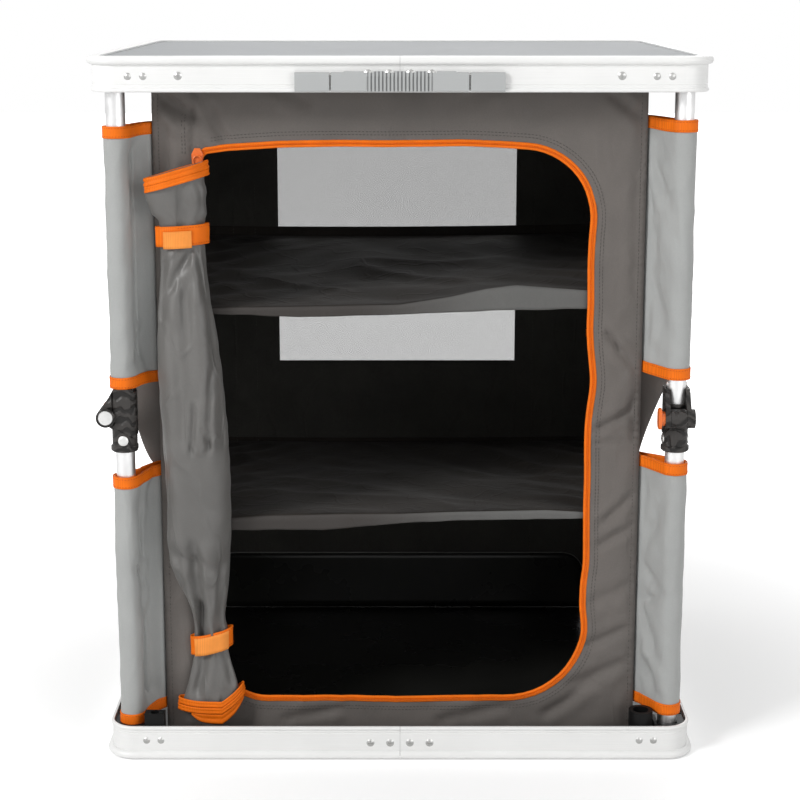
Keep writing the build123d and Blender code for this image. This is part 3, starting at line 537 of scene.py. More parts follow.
def inside(x, z, loop):
    """Whether a point lies in a closed outline."""
    hit = False
    for (x0, z0), (x1, z1) in zip(loop, loop[1:] + loop[:1]):
        if (z0 > z) != (z1 > z) and x < (x1 - x0) * (z - z0) / (z1 - z0) + x0:
            hit = not hit
    return hit


def step_to(a, b, k, count):
    """The point after k of count equal steps from a to b."""
    return a[0] + (b[0] - a[0]) * k / count, a[1] + (b[1] - a[1]) * k / count


def resample(loop, step):
    """An outline with a point about every step."""
    out = []
    for a, b in zip(loop, loop[1:] + loop[:1]):
        parts = max(1, round(math.dist(a, b) / step))
        out += [step_to(a, b, k, parts) for k in range(parts)]
    return out


def flat_sheet(outer, holes, step):
    """Points and triangles that fill an outline with holes, in X and Z."""
    loops = [resample(loop, step) for loop in (outer, *holes)]
    points = []
    edges = []
    for loop in loops:
        start = len(points)
        points += loop
        edges += [(start + k, start + (k + 1) % len(loop)) for k in range(len(loop))]
    rim = np.array(points)
    xs, zs = zip(*loops[0])

    def covered(x, z):
        return inside(x, z, loops[0]) and not any(inside(x, z, loop) for loop in loops[1:])

    for j in range(int((max(zs) - min(zs)) / step) + 1):
        for i in range(int((max(xs) - min(xs)) / step) + 1):
            x = min(xs) + (i + 0.5 * (j % 2)) * step
            z = min(zs) + j * step
            if covered(x, z) and np.min(np.hypot(rim[:, 0] - x, rim[:, 1] - z)) > 0.6 * step:
                points.append((x, z))
    made = delaunay_2d_cdt([Vector(p) for p in points], edges, [], 0, 1e-4)
    points = [(v.x, v.y) for v in made[0]]
    faces = []
    for face in made[2]:
        x = sum(points[k][0] for k in face) / len(face)
        z = sum(points[k][1] for k in face) / len(face)
        if covered(x, z):
            faces.append(tuple(face))
    return points, faces


def rounded(x0, x1, z0, z1, radii, steps=12):
    """A rectangle's outline with its own radius at top left, top right, bottom right and bottom left."""
    corners = [(x0, z1, 1, -1, 180), (x1, z1, -1, -1, 90), (x1, z0, -1, 1, 0), (x0, z0, 1, 1, -90)]
    out = []
    for (x, z, sx, sz, turn), r in zip(corners, radii):
        for k in range(steps + 1):
            angle = math.radians(turn - 90 * k / steps)
            out.append((x + sx * r + r * math.cos(angle), z + sz * r + r * math.sin(angle)))
    return out


def stray(x, z):
    """The table of strays made softer, and fading out towards the left."""
    levels = z + np.array([-8.0, -4.0, 0.0, 4.0, 8.0])
    return smooth(80, 185, x) * float(np.mean(np.interp(levels, *STRAY)))


def door_line(grow):
    """The door's outline, grown by so many millimetres."""
    x0, x1, z0, z1 = DOOR
    radii = tuple(r + grow for r in DOOR_CORNERS)
    out = []
    for x, z in resample(rounded(x0 - grow, x1 + grow, z0 - grow, z1 + grow, radii), 4):
        rise = at(x, DOOR_RISE) * smooth(560, 612, z)
        out.append((x + stray(x, z), z + rise + 1.2 * wobble(x, 0, z, 90, 2)))
    return out


def outside(x, z, hole):
    """Distance outwards from the straight sides of an opening, roughly."""
    x0, x1, z0, z1 = hole
    return max(x0 - x, x - x1, z0 - z, z - z1)


# Front panel

# Folds in the panel: the two ends in X and Z, half width and depth
PANEL_FOLDS = [
    (199, 334, 231, 352, 5, 3), (231, 352, 238, 372, 4, 2.2), (234, 348, 237, 322, 3.5, 1.8),
    (196, 319, 226, 319, 3.5, 1.2), (206, 236, 236, 266, 5, 2.8), (203, 211, 236, 232, 5, 2.4),
    (193, 104, 237, 122, 6, 2.2), (196, 150, 236, 168, 8, 1.8), (206, 434, 219, 416, 3.5, 3),
    (216, 419, 238, 393, 4.5, 2.2), (205, 668, 236, 646, 6, 2.6), (232, 590, 233, 470, 5, 1.2),
    (-240, 672, -199, 645, 8.5, 6), (-203, 700, -203, 612, 3.2, 2), (-195, 668, -172, 624, 6.5, 2.8),
    (-226, 651, -212, 634, 4.5, 1.8), (-229, 640, -231, 540, 6, 1.8), (-150, 696, -90, 664, 9, 1.2),
    (60, 662, 130, 694, 9, 1), (-216, 380, -206, 60, 7, 1.8), (-120, 22, -60, 34, 6, 1.4),
    (40, 20, 110, 36, 7, 1.4), (150, 26, 200, 64, 7, 2), (176, 60, 234, 86, 7, 1.8),
]


def pressed(x, z, folds):
    """How deep the folds reach at a point. Each is a valley with a low crest along both sides."""
    total = 0.0
    for x0, z0, x1, z1, wide, deep in folds:
        dx = x1 - x0
        dz = z1 - z0
        length = math.hypot(dx, dz)
        along = ((x - x0) * dx + (z - z0) * dz) / length
        beside = ((x - x0) * dz - (z - z0) * dx) / length + 0.4 * wide * wobble(x, 0, z, 4 * wide, deep)
        if abs(beside) > 4 * wide or not -2 * wide < along < length + 2 * wide:
            continue
        fade = smooth(-1.5 * wide, wide, along) * smooth(-1.5 * wide, wide, length - along)
        total += deep * fade * (bell(beside, 0.75 * wide) - 0.4 * bell(abs(beside) - 1.7 * wide, wide))
    return total


def panel_front(x, z):
    """How far the front panel stands from its plane: loose waves, drawn in beside the zip."""
    edge = smooth(0, 14, CABINET - abs(x)) * smooth(0, 20, CABINET_TOP - z) * smooth(0, 10, z - CABINET_LOW)
    side = smooth(196, 232, abs(x))
    knee = bell(z - 395, 75)
    waves = 1.5 * wobble(x * 1.4, 0, z * 0.55, 60, 1) + 0.7 * wobble(x, 0, z, 24, 3)
    slant = wobble((x - z * 0.75) * 0.9, 0, (z + x) * 0.25, 17, 8)
    creases = ridge(x * 0.9, 0, z * 0.6, 55, 12) * 1.1 + ridge(x - z * 0.6, 0, z * 0.3, 34, 15) * 1.2 * side
    stitch = math.exp(-abs(outside(x, z, DOOR) - 9) / 2.4)
    pucker = 0.45 * stitch * math.sin(0.62 * (x + z) + 2 * wobble(x, 0, z, 40, 5))
    hem = 0.5 * math.exp(-abs(CABINET - 6 - abs(x)) / 1.6)
    out = waves * 1.3 + (0.8 + 1.2 * knee) * side * slant - 1.1 * creases + 1.6 * pressed(x, z, PANEL_FOLDS)
    return -FRONT - 0.3 + edge * max(-3.8, min(7.5, out)) + pucker + hem - 0.5 * edge


def front_panel():
    outer = [(-CABINET, CABINET_LOW), (CABINET, CABINET_LOW), (CABINET, CABINET_TOP), (-CABINET, CABINET_TOP)]
    points, faces = flat_sheet(outer, [door_line(0)], PANEL_STEP)
    solid = [(x, panel_front(x, z), z) for x, z in points]
    piece = make("front_panel_cloth", solid, faces, "fabric_charcoal", LINED)
    thicken(piece, CLOTH, 1, 2)
    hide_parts("front_panel")
    return piece


def zip_parts():
    """The zip's two tapes as one band, and the line of its coil, from the slider to the hinge side."""
    ring = door_line(0)

    def nearness(k):
        x, z = ring[k]
        return (z > 560) * (400 - x - abs(z - 606))

    start = max(range(len(ring)), key=nearness)
    line = []
    for x, z in ring[start:] + ring[:start]:
        if z < 200 and x < -166:
            break
        line.append((x, z))
    line = line[:-1]
    section = [(-3.4, 0.9), (-2.6, 0.1), (-0.9, -0.15), (-0.5, 0.35), (0.5, 0.35), (0.9, -0.15), (2.6, 0.1),
               (3.4, 0.9), (3.4, 1.5), (-3.4, 1.5)]
    points = []
    for k, (x, z) in enumerate(line):
        a = line[max(k - 1, 0)]
        b = line[min(k + 1, len(line) - 1)]
        length = math.hypot(b[0] - a[0], b[1] - a[1])
        nx = (b[1] - a[1]) / length
        nz = -(b[0] - a[0]) / length
        base = panel_front(x, z) - 1.6
        points += [(x - nx * s, base + d, z - nz * s) for s, d in section]
    piece = make("door_zip_tape", points, quads(len(line), len(section)), "webbing_orange", ["tape"])
    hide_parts("zip_tape")
    return piece, [(x, panel_front(x, z) - 1.7, z) for x, z in line]


# Walls and shelves

# Heights at which the shelves meet the walls
SHELF_LEVELS = (474, 232)


def free_of_shelves(z):
    """0 where a shelf is sewn to the wall and 1 well away from it."""
    return smooth(16, 44, min(abs(z - level) for level in SHELF_LEVELS))


def inset(t, margin):
    """0 at both ends of a span from 0 to 1, and 1 beyond a margin."""
    return smooth(0, margin, t) * smooth(0, margin, 1 - t)


def side_wall(sign):
    y0 = -FRONT + 1.4
    y1 = FRONT - 1.4

    def spot(u, v):
        y = y0 + (y1 - y0) * u
        z = CABINET_LOW + (CABINET_TOP - CABINET_LOW) * v
        edge = inset(u, 0.06) * inset(v, 0.03)
        out = 1.6 * wobble(y, sign * 50, z * 0.6, 70, 5) + 0.8 * wobble(y, sign * 50, z, 26, 6)
        return (sign * (CABINET - INNER + edge * (out - 0.8) * (0.15 + 0.85 * free_of_shelves(z))), y, z)

    points, faces = grid(56, 96, spot)
    if sign > 0:
        faces = flipped(faces)
    name = "right" if sign > 0 else "left"
    piece = make(f"{name}_wall_cloth", points, faces, "fabric_charcoal", LINED)
    thicken(piece, CLOTH, 1, 2)
    return piece


def corner_name(sx, sy):
    return ("front" if sy < 0 else "back") + ("_left" if sx < 0 else "_right")


def gusset(sx, sy):
    """The dark triangle behind a knee."""
    top = SLEEVES.get((sx, sy, "upper"), PLAIN_UPPER)[0] - 0.5
    edge = CABINET + 0.4
    tip = LEG_X + 3.6
    low, bulge = {(-1, -1): (288.0, 0.45), (1, -1): (297.0, 1.3)}.get((sx, sy), (GUSSET_LOW, 1.0))

    def spot(u, v):
        reach = (tip - edge) * (1 - v) ** bulge
        bow = 1.2 * math.sin(math.pi * u) * math.sin(math.pi * v)
        return (sx * (edge + reach * u), sy * (FRONT - 16.5 + bow), top - (top - low) * v)

    points, faces = grid(10, 22, spot)
    piece = make(f"{corner_name(sx, sy)}_gusset", points, faces, "fabric_charcoal", ["cloth"])
    return thicken(piece, 0.9)


def back_wall():
    low = 32.0
    outer = rounded(-CABINET, CABINET, low, CABINET_TOP, (0.5, 0.5, 24, 24), 6)
    x0, x1, z0, z1 = WINDOW
    hole = [(x0, z1), (x1, z1), (x1, z0), (x0, z0)]
    points, faces = flat_sheet(outer, [hole], WALL_STEP)
    solid = []
    for x, z in points:
        edge = smooth(0, 16, CABINET - abs(x)) * smooth(0, 16, CABINET_TOP - z) * smooth(84, 130, z)
        free = free_of_shelves(z)
        clear = smooth(8, 50, outside(x, z, WINDOW)) * free
        out = (0.7 * wobble(x, 9, z * 0.6, 70, 7) + 0.3 * wobble(x, 9, z, 25, 9)) * (0.2 + 0.8 * free)
        lumps = 3.0 * wobble(x + 0.5 * z, 9, z - 0.4 * x, 75, 17)
        out += clear * (lumps + 3.0 * ridge(x + z, 9, z - x, 95, 19))
        solid.append((x, FRONT - INNER - edge * out, z))
    piece = make("back_wall_cloth", solid, flipped(faces), "fabric_charcoal", LINED)
    thicken(piece, CLOTH, 1, 2)
    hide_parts("back_wall")
    return piece


def liner():
    """A glossy liner up the foot of the back wall, with a fine piping along its rounded top edge, whose light
    grey is a painted highlight.
    """
    outer = rounded(-232, 229, 4.6, 76, (26, 26, 2, 2), 8)
    points, faces = flat_sheet(outer, [], 9.0)
    y = FRONT - 2.6
    solid = [(x, y + 0.3 * wobble(x, 0, z, 40, 3), z) for x, z in points]
    piece = make("back_liner", solid, faces, "pan_black", ["pan"])
    thicken(piece, 0.8)
    top = [p for p in resample(outer, 4) if p[1] > 40]
    start = max(range(len(top)), key=lambda k: math.dist(top[k], top[k - 1]))
    line = [(x, y - 0.9, z) for x, z in top[start:] + top[:start]]
    edge = make("back_liner_piping", *tube_mesh(line, 0.75), "pan_black", ["piping"])
    return [piece, edge]


def tabs():
    """Small orange loops sewn inside the cabinet's corners."""
    made = []
    for k, (x, y, z) in enumerate(((-228, 194, 352), (228, 194, 356), (236, 120, 205))):
        def spot(u, v):
            return (x + 3.0 * (u - 0.5), y - 0.4 - 1.6 * math.sin(math.pi * v), z + 9 * (v - 0.5))
        tab = make(f"inside_tab_{k + 1}", *grid(3, 10, spot), "webbing_orange", ["tape"])
        made.append(thicken(tab, 0.5))
    return made


def window():
    x0, x1, z0, z1 = WINDOW
    hem = 8

    def spot(u, v):
        x = x0 - hem + (x1 - x0 + 2 * hem) * u
        z = z0 - hem + (z1 - z0 + 2 * hem) * v
        return (x, FRONT + 0.5 + 0.5 * wobble(x, 0, z, 60, 3) ** 2, z)

    piece = make("window_mesh_cloth", *grid(30, 34, spot), "mesh_grey", ["mesh"])
    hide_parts("window_mesh")
    return piece


def shelf(name, level, left, right, sag, back_drop, fold, hem, flap, seed):
    """A slack shelf. Its front fold and the hem below it follow two lines of heights across the cabinet, and
    a flap joins it to the back wall."""
    half = CABINET - 1.6
    y0 = -FRONT + 3.5
    y1 = FRONT - 1.5
    rows = [y0, y0 + 120, y0 + 260, y1]
    columns = 120
    steps = 72
    # Shares of the steps that the hem and the flap start from
    lip = 0.10
    rear = 0.93

    def level_at(x, y):
        dip = at(y, (rows, [1.0, 1.5, 1.2, 0.3]))
        slope = at(y, (rows, [1.0, 0.7, 0.4, 0.1]))
        back = at(y, (rows, [0.0, 0.3, 0.7, 1.0]))
        across = (x + half) / (2 * half)
        hang = 4 * across * (1 - across)
        tilt = left * (1 - across) + right * across
        return level - tilt * slope - back_drop * back - sag * dip * hang

    def spot(u, v):
        x = -half + 2 * half * u
        rise = min(1.0, max(0.0, (v - lip) / (rear - lip)))
        y = y0 + (y1 - y0) * rise
        corner = min(u, 1 - u) * 2 * half
        pull = math.sin(0.11 * (corner - 0.9 * (y - y0)) + 3 * wobble(x, y, 0, 90, seed))
        drawn = math.exp(-corner / 70) * 3.0 * pull
        crease = 4.5 * wobble(x * 0.6 + y * 0.45, y * 0.8, 0, 70, seed)
        crease += 0.9 * wobble(x, y * 0.6, 0, 26, seed + 1)
        crest = 3.0 * ridge(x * 0.7 + y * 0.6, y * 0.7, 0, 90, seed + 3)
        inner = smooth(0, 0.12, rise) * smooth(0, 0.1, 1 - rise)
        front = at(x, fold)
        near = math.exp(-(y - y0) / 45)
        z = level_at(x, y) * (1 - near) + front * near + inset(u, 0.06) * inner * (crease + crest + drawn)
        if v < lip:
            drop = 1 - v / lip
            low = at(x, hem) + 0.7 * wobble(x, 0, 0, 24, seed)
            z = front + (low - front) * drop
            bow = math.sin(math.pi * 0.5 * min(1.0, drop * 2.5))
            y = y0 - 1.4 * bow + 1.1 * drop * wobble(x, 0, z, 22, seed + 4) + 1.6 * drop
        if v > rear:
            share = (v - rear) / (1 - rear)
            z += flap * share
            y = y1 + 0.5 - 0.8 * share
        return (x, y, z)

    piece = make(name + "_cloth", *grid(columns, steps, spot), "fabric_charcoal", ["shelf", "shelf", "hem"])
    for polygon in piece.data.polygons[:round(lip * steps) * columns]:
        polygon.material_index = 2
    thicken(piece, CLOTH)
    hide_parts(name)
    return piece


# Sleeves

SLEEVE_RADIUS = 12.1
TAPE_WIDTH = 11
# Each sleeve's lower and upper level, how much its ends rise away from the cabinet, how deep it falls in
# beside the cabinet, and its folds, with X counted from the middle of the cupboard
PLAIN_UPPER = (382.5, 642, 0, 0, 3, [])
PLAIN_LOWER = (36, 296, 0, 0, 3, [])
SLEEVES = {
    (-1, -1, "upper"): (382.5, 641, 0, -2, 11, [
        (250, 636, 252, 560, 5, 3), (246, 436, 264, 398, 6, 3), (250, 560, 250, 450, 5, 2)]),
    (-1, -1, "lower"): (36, 296, -5.5, -5, 11, [
        (262, 284, 252, 206, 7, 4), (268, 206, 248, 176, 7, 3), (256, 190, 263, 150, 6, 2.4),
        (250, 150, 254, 60, 6, 2.4)]),
    (1, -1, "upper"): (392.5, 647, -1, -2, 1.5, [
        (245, 604, 262, 566, 6, 4), (262, 566, 273, 506, 6, 3.4), (245, 486, 267, 428, 7, 3.4),
        (250, 540, 246, 500, 6, 2)]),
    (1, -1, "lower"): (41.5, 305, 0, 0, 1.5, [
        (269, 286, 245, 204, 7, 4.2), (244, 192, 266, 168, 5, 3), (265, 168, 246, 150, 5, 2.4),
        (244, 148, 265, 90, 6, 4.2), (243, 96, 269, 48, 6, 4)]),
}


def tangent(start, centre, radius, side):
    """Where a line from a point outside touches a circle, as an angle and a point."""
    dx = centre[0] - start[0]
    dy = centre[1] - start[1]
    half = math.acos(radius / math.hypot(dx, dy))
    towards = math.atan2(-dy, -dx) + side * half
    return towards, (centre[0] + radius * math.cos(towards), centre[1] + radius * math.sin(towards))


def sleeve_line(count=64):
    """Plan of a sleeve of the front left leg, from the cabinet's corner round the leg and back."""
    centre = (-LEG_X, -LEG_Y)
    first = (-CABINET - 0.4, -FRONT + 5)
    last = (-CABINET - 0.4, -FRONT + 16)
    on, touch = tangent(first, centre, SLEEVE_RADIUS, -1)
    off, leave = tangent(last, centre, SLEEVE_RADIUS, 1)
    if off > on:
        off -= TAU
    straight = 12
    bend = 24
    points = [step_to(first, touch, k, straight) for k in range(straight)]
    for k in range(bend + 1):
        turn = on + (off - on) * k / bend
        x = centre[0] + SLEEVE_RADIUS * math.cos(turn)
        points.append((x, centre[1] + SLEEVE_RADIUS * math.sin(turn)))
    points += [step_to(leave, last, k, straight) for k in range(1, straight + 1)]
    away = [0.0]
    for a, b in zip(points, points[1:]):
        away.append(away[-1] + math.hypot(b[0] - a[0], b[1] - a[1]))
    spots = np.linspace(0, away[-1], count + 1)
    xs, ys = (np.interp(spots, away, side) for side in zip(*points))
    return list(zip(xs, ys)), away[-1]


SLEEVE_LINE, SLEEVE_ROUND = sleeve_line()


def sleeve_band(low, high, sleeve, rows, seed, corner, proud=0.0):
    """Part of a sleeve between two levels, in soft folds that fade at the sleeve's own ends."""
    bottom, top, low_slant, top_slant, fall, folds = sleeve
    line = SLEEVE_LINE
    count = len(line) - 1
    sx, sy = corner

    def spot(u, v):
        k = round(u * count)
        x, y = line[k]
        a = line[max(k - 1, 0)]
        b = line[min(k + 1, count)]
        length = math.hypot(b[0] - a[0], b[1] - a[1])
        nx = -(b[1] - a[1]) / length
        ny = (b[0] - a[0]) / length
        z = low + (high - low) * v
        free = inset(u, 0.08) * (0.35 + 0.65 * smooth(4, 30, min(z - bottom, top - z)))
        wrap = smooth(8, 22, math.hypot(x + LEG_X, y + LEG_Y))
        wave = wobble(x * 1.3, y * 1.3, z * 0.42, 22, seed) + 0.5 * wobble(x, y, z * 0.8, 11, seed + 2)
        drape = wobble(x * 0.4, y * 0.4, (z - 1.2 * x) * 0.5, 30, seed + 5)
        crest = ridge(x, y, z * 0.5 - x, 26, seed + 7)
        hollow = smooth(-270, -258, x) * smooth(-242, -249, x) * (y < -FRONT)
        dent = pressed(-x, z, folds) * smooth(-FRONT - 2, -FRONT - 10, y)
        fallen = fall * wrap * hollow
        out = free * ((0.3 + 0.7 * wrap) * (2.2 * wave + 1.6 * drape + 1.0 * crest - 0.5) - fallen)
        out = min(out, 3.2) - free * dent * (0.25 + 0.75 * wrap)
        out = max(out, -fallen - 4.0 * wrap - 0.8) + proud
        away = smooth(0, 34, math.hypot(x + CABINET, y + FRONT - 10))
        share = (z - bottom) / (top - bottom)
        rise = away * (low_slant * (1 - share) + top_slant * share)
        return (-sx * (x + nx * out), -sy * (y + ny * out), z + rise)

    points, faces = grid(count, rows, spot)
    return points, flipped(faces) if sx * sy < 0 else faces


def sleeve(side, part, corner, ends, seed):
    """One sleeve and the tapes outside and inside its two ends. Gives the lines of the tapes' stitches."""
    low, high = ends[:2]
    cloth = sleeve_band(low, high, ends, 84, seed, corner)
    piece = make(f"{side}_{part}_sleeve", *cloth, "fabric_silver", ["sleeve"])
    LOOSE.append(thicken(piece, 0.8))
    (high - low) * MM
    if (side, part) == ("front_left", "lower"):
        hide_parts("leg_sleeves")
    rows = []
    for end, z0, z1 in (("bottom", low - 0.6, low + TAPE_WIDTH), ("top", high - TAPE_WIDTH, high + 0.6)):
        for kind, proud, thickness in (("tape", 0.95, 0.8), ("inner_tape", -0.8, 0.6)):
            tape = sleeve_band(z0, z1, ends, 6, seed, corner, proud)
            band = make(f"{side}_{part}_sleeve_{end}_{kind}", *tape, "webbing_orange", ["tape"])
            LOOSE.append(thicken(band, thickness))
            if (side, part, end, kind) == ("front_left", "lower", "bottom", "tape"):
                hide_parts("sleeve_tapes")
        for z in (z0 + 1.8, z1 - 1.8):
            line = sleeve_band(z, z + 0.1, ends, 1, seed, corner, 1.4)[0]
            rows.append(line[:len(line) // 2])
    return rows


def sleeves():
    seed = 11
    rows = []
    for sx in (-1, 1):
        for sy in (-1, 1):
            for part, plain in (("lower", PLAIN_LOWER), ("upper", PLAIN_UPPER)):
                seed += 3
                rows += sleeve(corner_name(sx, sy), part, (sx, sy), SLEEVES.get((sx, sy, part), plain), seed)
    bead = (0.3, 0.3, 1.0)
    LOOSE.append(row_of("sleeve_tape_stitches", rows, 3.0, bead, "orange_thread"))


# The rolled door

# Its plan from the top down: middle in X, half width, depth, how far its left side stands out, and the height
ROLL = [
    (-218, 29.8, 13, 14, 596), (-217.5, 30.5, 13.5, 12, 578), (-216, 32, 14, 9, 562),
    (-215, 29.5, 12.5, 7, 553), (-213.8, 25, 10, 5, 545), (-213.8, 25, 10, 5, 519),
    (-213.3, 30, 13.5, 6, 495), (-212.5, 33.5, 15.5, 6, 455), (-210.5, 36, 16, 5, 415),
    (-206, 38.5, 16, 3, 342), (-204, 37.5, 16, 2, 259), (-205.5, 36.5, 15, 1.5, 200),
    (-201, 30, 12.5, 1, 170), (-195.5, 23, 10.5, 0.8, 145), (-193.5, 20.5, 9, 0.5, 127),
    (-193.5, 20.5, 9, 0.5, 99), (-194, 25, 11, 1, 82), (-195, 33, 12.5, 1, 54),
    (-195, 34, 12.5, 1, 40),
]
ROLL_BACK = 200.6
# Length round the loose cloth, by height
ROLL_GIRTH = ([40, 78, 112, 145, 200, 300, 420, 500, 532, 556, 596],
              [148, 132, 112, 132, 160, 166, 160, 142, 124, 138, 142])
# How the roll's ends and ties rise across their width: X and height
TOP_TILT = ([-262, -170], [-11.5, 14])
UPPER_TIE_TILT = ([-262, -170], [-2.8, 2.8])
LOWER_TIE_TILT = ([-220, -165], [-6.9, 7.4])
END_TILT = ([-230, -202, -183, -170, -156], [-4, -4, -4.5, 4.5, 17])
# Folds in the roll's front: the two ends in X and Z, half width and depth
ROLL_FOLDS = [
    (-210, 570, -206, 549, 5, 1.8), (-197, 582, -189, 556, 4, 1.6), (-203, 521, -226, 478, 5, 2.6),
    (-198, 519, -191, 468, 4, 2.2), (-233, 516, -235, 452, 5, 1.2), (-187, 398, -190, 318, 3.2, 2),
    (-203, 366, -207, 316, 3.2, 1.8), (-196, 342, -189, 322, 3, 1.4), (-176, 372, -175, 322, 4.5, 1.8),
    (-222, 440, -214, 330, 8, 1.6), (-233, 210, -174, 190, 9, 2.2), (-222, 300, -186, 252, 9, 1.6),
    (-206, 222, -202, 108, 7, 3.6), (-202, 154, -203, 106, 5, 5), (-226, 188, -210, 112, 5, 2.6),
    (-177, 168, -186, 114, 4.5, 2.2), (-200, 112, -209, 58, 6.5, 3.8), (-182, 112, -170, 66, 5, 3),
]
# The plan's corners, from the left: shares of the half width, of the depth and of how far the left stands out
ROLL_PLAN = [(-1.0, 0.45, 1.0), (-0.72, 1.05, 0.8), (-0.30, 1.50, 0.5), (0.12, 1.45, 0.3), (0.50, 1.55, 0.1),
             (0.86, 1.00, 0.0), (1.0, 0.40, 0.0), (0.85, 0.0, 0.0), (-0.85, 0.0, 1.0)]
# Points round the roll, the levels at which its cloth is held, and how often its rings are made softer
ROLL_COUNT = 120
ROLL_HELD = ((0, 50), (101, 125), (521, 544), (582, 700))
ROLL_SOFTENINGS = 16


def roll_state(z):
    levels = [s[4] for s in reversed(ROLL)]
    return [at(z, (levels, [s[k] for s in reversed(ROLL)])) for k in range(4)]


def roll_ring(z, count, grow=0.0):
    """The roll's plan at a level: the flattened outline made round, as evenly spaced points."""
    middle, half, deep, lift = roll_state(z)
    corners = []
    for a, b, c in ROLL_PLAN:
        corners.append(Vector((middle + a * half, -ROLL_BACK - b * deep - c * lift)))
    for _ in range(3):
        cut = []
        for a, b in zip(corners, corners[1:] + corners[:1]):
            cut += [a * 0.75 + b * 0.25, a * 0.25 + b * 0.75]
        corners = cut
    centre = sum(corners, Vector((0, 0))) / len(corners)
    corners = [p + (p - centre).normalized() * grow for p in corners]
    away = [0.0]
    for a, b in zip(corners, corners[1:] + corners[:1]):
        away.append(away[-1] + (b - a).length)
    xs, ys = zip(*corners, corners[0])
    spots = np.linspace(0, away[-1], count + 1)[:-1]
    return list(zip(np.interp(spots, away, xs), np.interp(spots, away, ys))), centre


def roll_fold(u, z):
    """Depth of the roll's folds round its plan: a few deep ones at the ties, broad and flat between them."""
    tied = max(bell(z - 532, 22) * 0.45, bell(z - 112, 34), bell(z - 50, 24) * 0.5)
    turn = TAU * u
    sway = 0.7 * math.sin(z / 53)
    pleats = math.sin(turn * 3 + 1.1 + sway) + 0.6 * math.sin(turn * 5 + 0.4 - z / 60)
    px = math.cos(turn) * 34
    py = math.sin(turn) * 34
    broad = wobble(px, py, z * 0.33, 26, 21)
    crests = ridge(px * 1.2, py * 1.2, z * 0.30, 25, 27) + 0.7 * ridge(px, py, z * 0.9, 21, 29)
    groove = -6.5 * bell(u - 0.30 - 0.03 * math.sin(z / 40), 0.03) * smooth(240, 130, z)
    left = -2.4 * bell(u - 0.17 - 0.0006 * (z - 150), 0.03) * smooth(290, 170, z)
    return tied * (1.3 * pleats - 0.4) + (1 - 0.5 * tied) * 2.4 * broad + 0.9 * crests - 0.8 + groove + left


# Settings of the simulated cloth, which is ten times the real size
CLOTH_RULES = {
    "quality": 7, "mass": 0.25, "tension_stiffness": 30, "compression_stiffness": 22, "shear_stiffness": 12,
    "bending_stiffness": 70.0, "air_damping": 2.0, "vertex_group_mass": "held", "use_pressure": True,
    "uniform_pressure_force": 2.4,
}


def gather(points, faces, held, frames=22):
    """Cloth settled against the panel after its held points move to their places. Points in millimetres."""
    size = 0.01
    gap = 0.008
    scene = bpy.context.scene
    mesh = bpy.data.meshes.new("loose")
    mesh.from_pydata([(x * size, y * size, z * size) for x, y, z in points], [], faces)
    cloth = put("loose", mesh)
    group = cloth.vertex_groups.new(name="held")
    group.add(list(held), 1.0, "REPLACE")
    cloth.shape_key_add(name="loose")
    tied = cloth.shape_key_add(name="tied")
    for k, spot in held.items():
        tied.data[k].co = Vector(spot) * size
    for value, when in ((0.0, 1), (1.0, 13)):
        tied.value = value
        tied.keyframe_insert("value", frame=when)
    y = -(FRONT + 1.0) * size
    wall_mesh = bpy.data.meshes.new("wall")
    wall_mesh.from_pydata([(-4, y, -1), (1, y, -1), (1, y, 8), (-4, y, 8)], [], [(0, 1, 2, 3)])
    wall = put("wall", wall_mesh)
    wall.modifiers.new("collision", "COLLISION")
    wall.collision.thickness_outer = gap
    sim = cloth.modifiers.new("cloth", "CLOTH")
    for key, value in CLOTH_RULES.items():
        setattr(sim.settings, key, value)
    sim.collision_settings.distance_min = gap
    sim.collision_settings.use_self_collision = True
    sim.collision_settings.self_distance_min = gap
    sim.point_cache.frame_start = 1
    sim.point_cache.frame_end = frames
    for frame_number in range(1, frames + 1):
        scene.frame_set(frame_number)
    shown = cloth.evaluated_get(bpy.context.evaluated_depsgraph_get())
    settled = [tuple(v.co / size) for v in shown.data.vertices]
    for extra in (cloth, wall):
        bpy.data.objects.remove(extra)
    scene.frame_set(1)
    return settled


def resized(ring, centre, around):
    """A ring scaled so that its length is the one given."""
    length = sum(math.dist(a, b) for a, b in zip(ring, ring[1:] + ring[:1]))
    share = around / length
    return [(centre.x + (x - centre.x) * share, centre.y + (y - centre.y) * share) for x, y in ring]


def end_tilt(x, z):
    """How much the cloth rises at X towards the roll's ends."""
    return smooth(550, 586, z) * at(x, TOP_TILT) + smooth(92, 50, z) * at(x, END_TILT)


def roll_cloth(levels):
    """The tied roll, the loose cloth that it is gathered from, and the points held by the ties and ends."""
    tied = []
    loose = []
    held = {}
    for z in levels:
        ring, centre = roll_ring(z, ROLL_COUNT, -1.2)
        tie = any(low < z < high for low, high in ROLL_HELD)
        for k, (x, y) in enumerate(ring):
            away = Vector((x, y)) - centre
            spot = Vector((x, y)) + away.normalized() * min(roll_fold(k / ROLL_COUNT, z), 3.2)
            level = z + end_tilt(x, z)
            if tie:
                held[len(tied)] = (spot.x, min(spot.y, -FRONT - 2.2), level)
            tied.append((spot.x, min(spot.y, -FRONT - 1.2), level))
        full = resized(ring, centre, at(z, ROLL_GIRTH))
        shift = min(0.0, -FRONT - 2.4 - max(y for x, y in full))
        for k, (x, y) in enumerate(full):
            turn = TAU * k / ROLL_COUNT
            uneven = 1.2 * wobble(math.cos(turn) * 20, math.sin(turn) * 20, z, 17, 33)
            loose.append((x + uneven, y + shift - abs(uneven), z + end_tilt(x, z)))
    return tied, loose, held


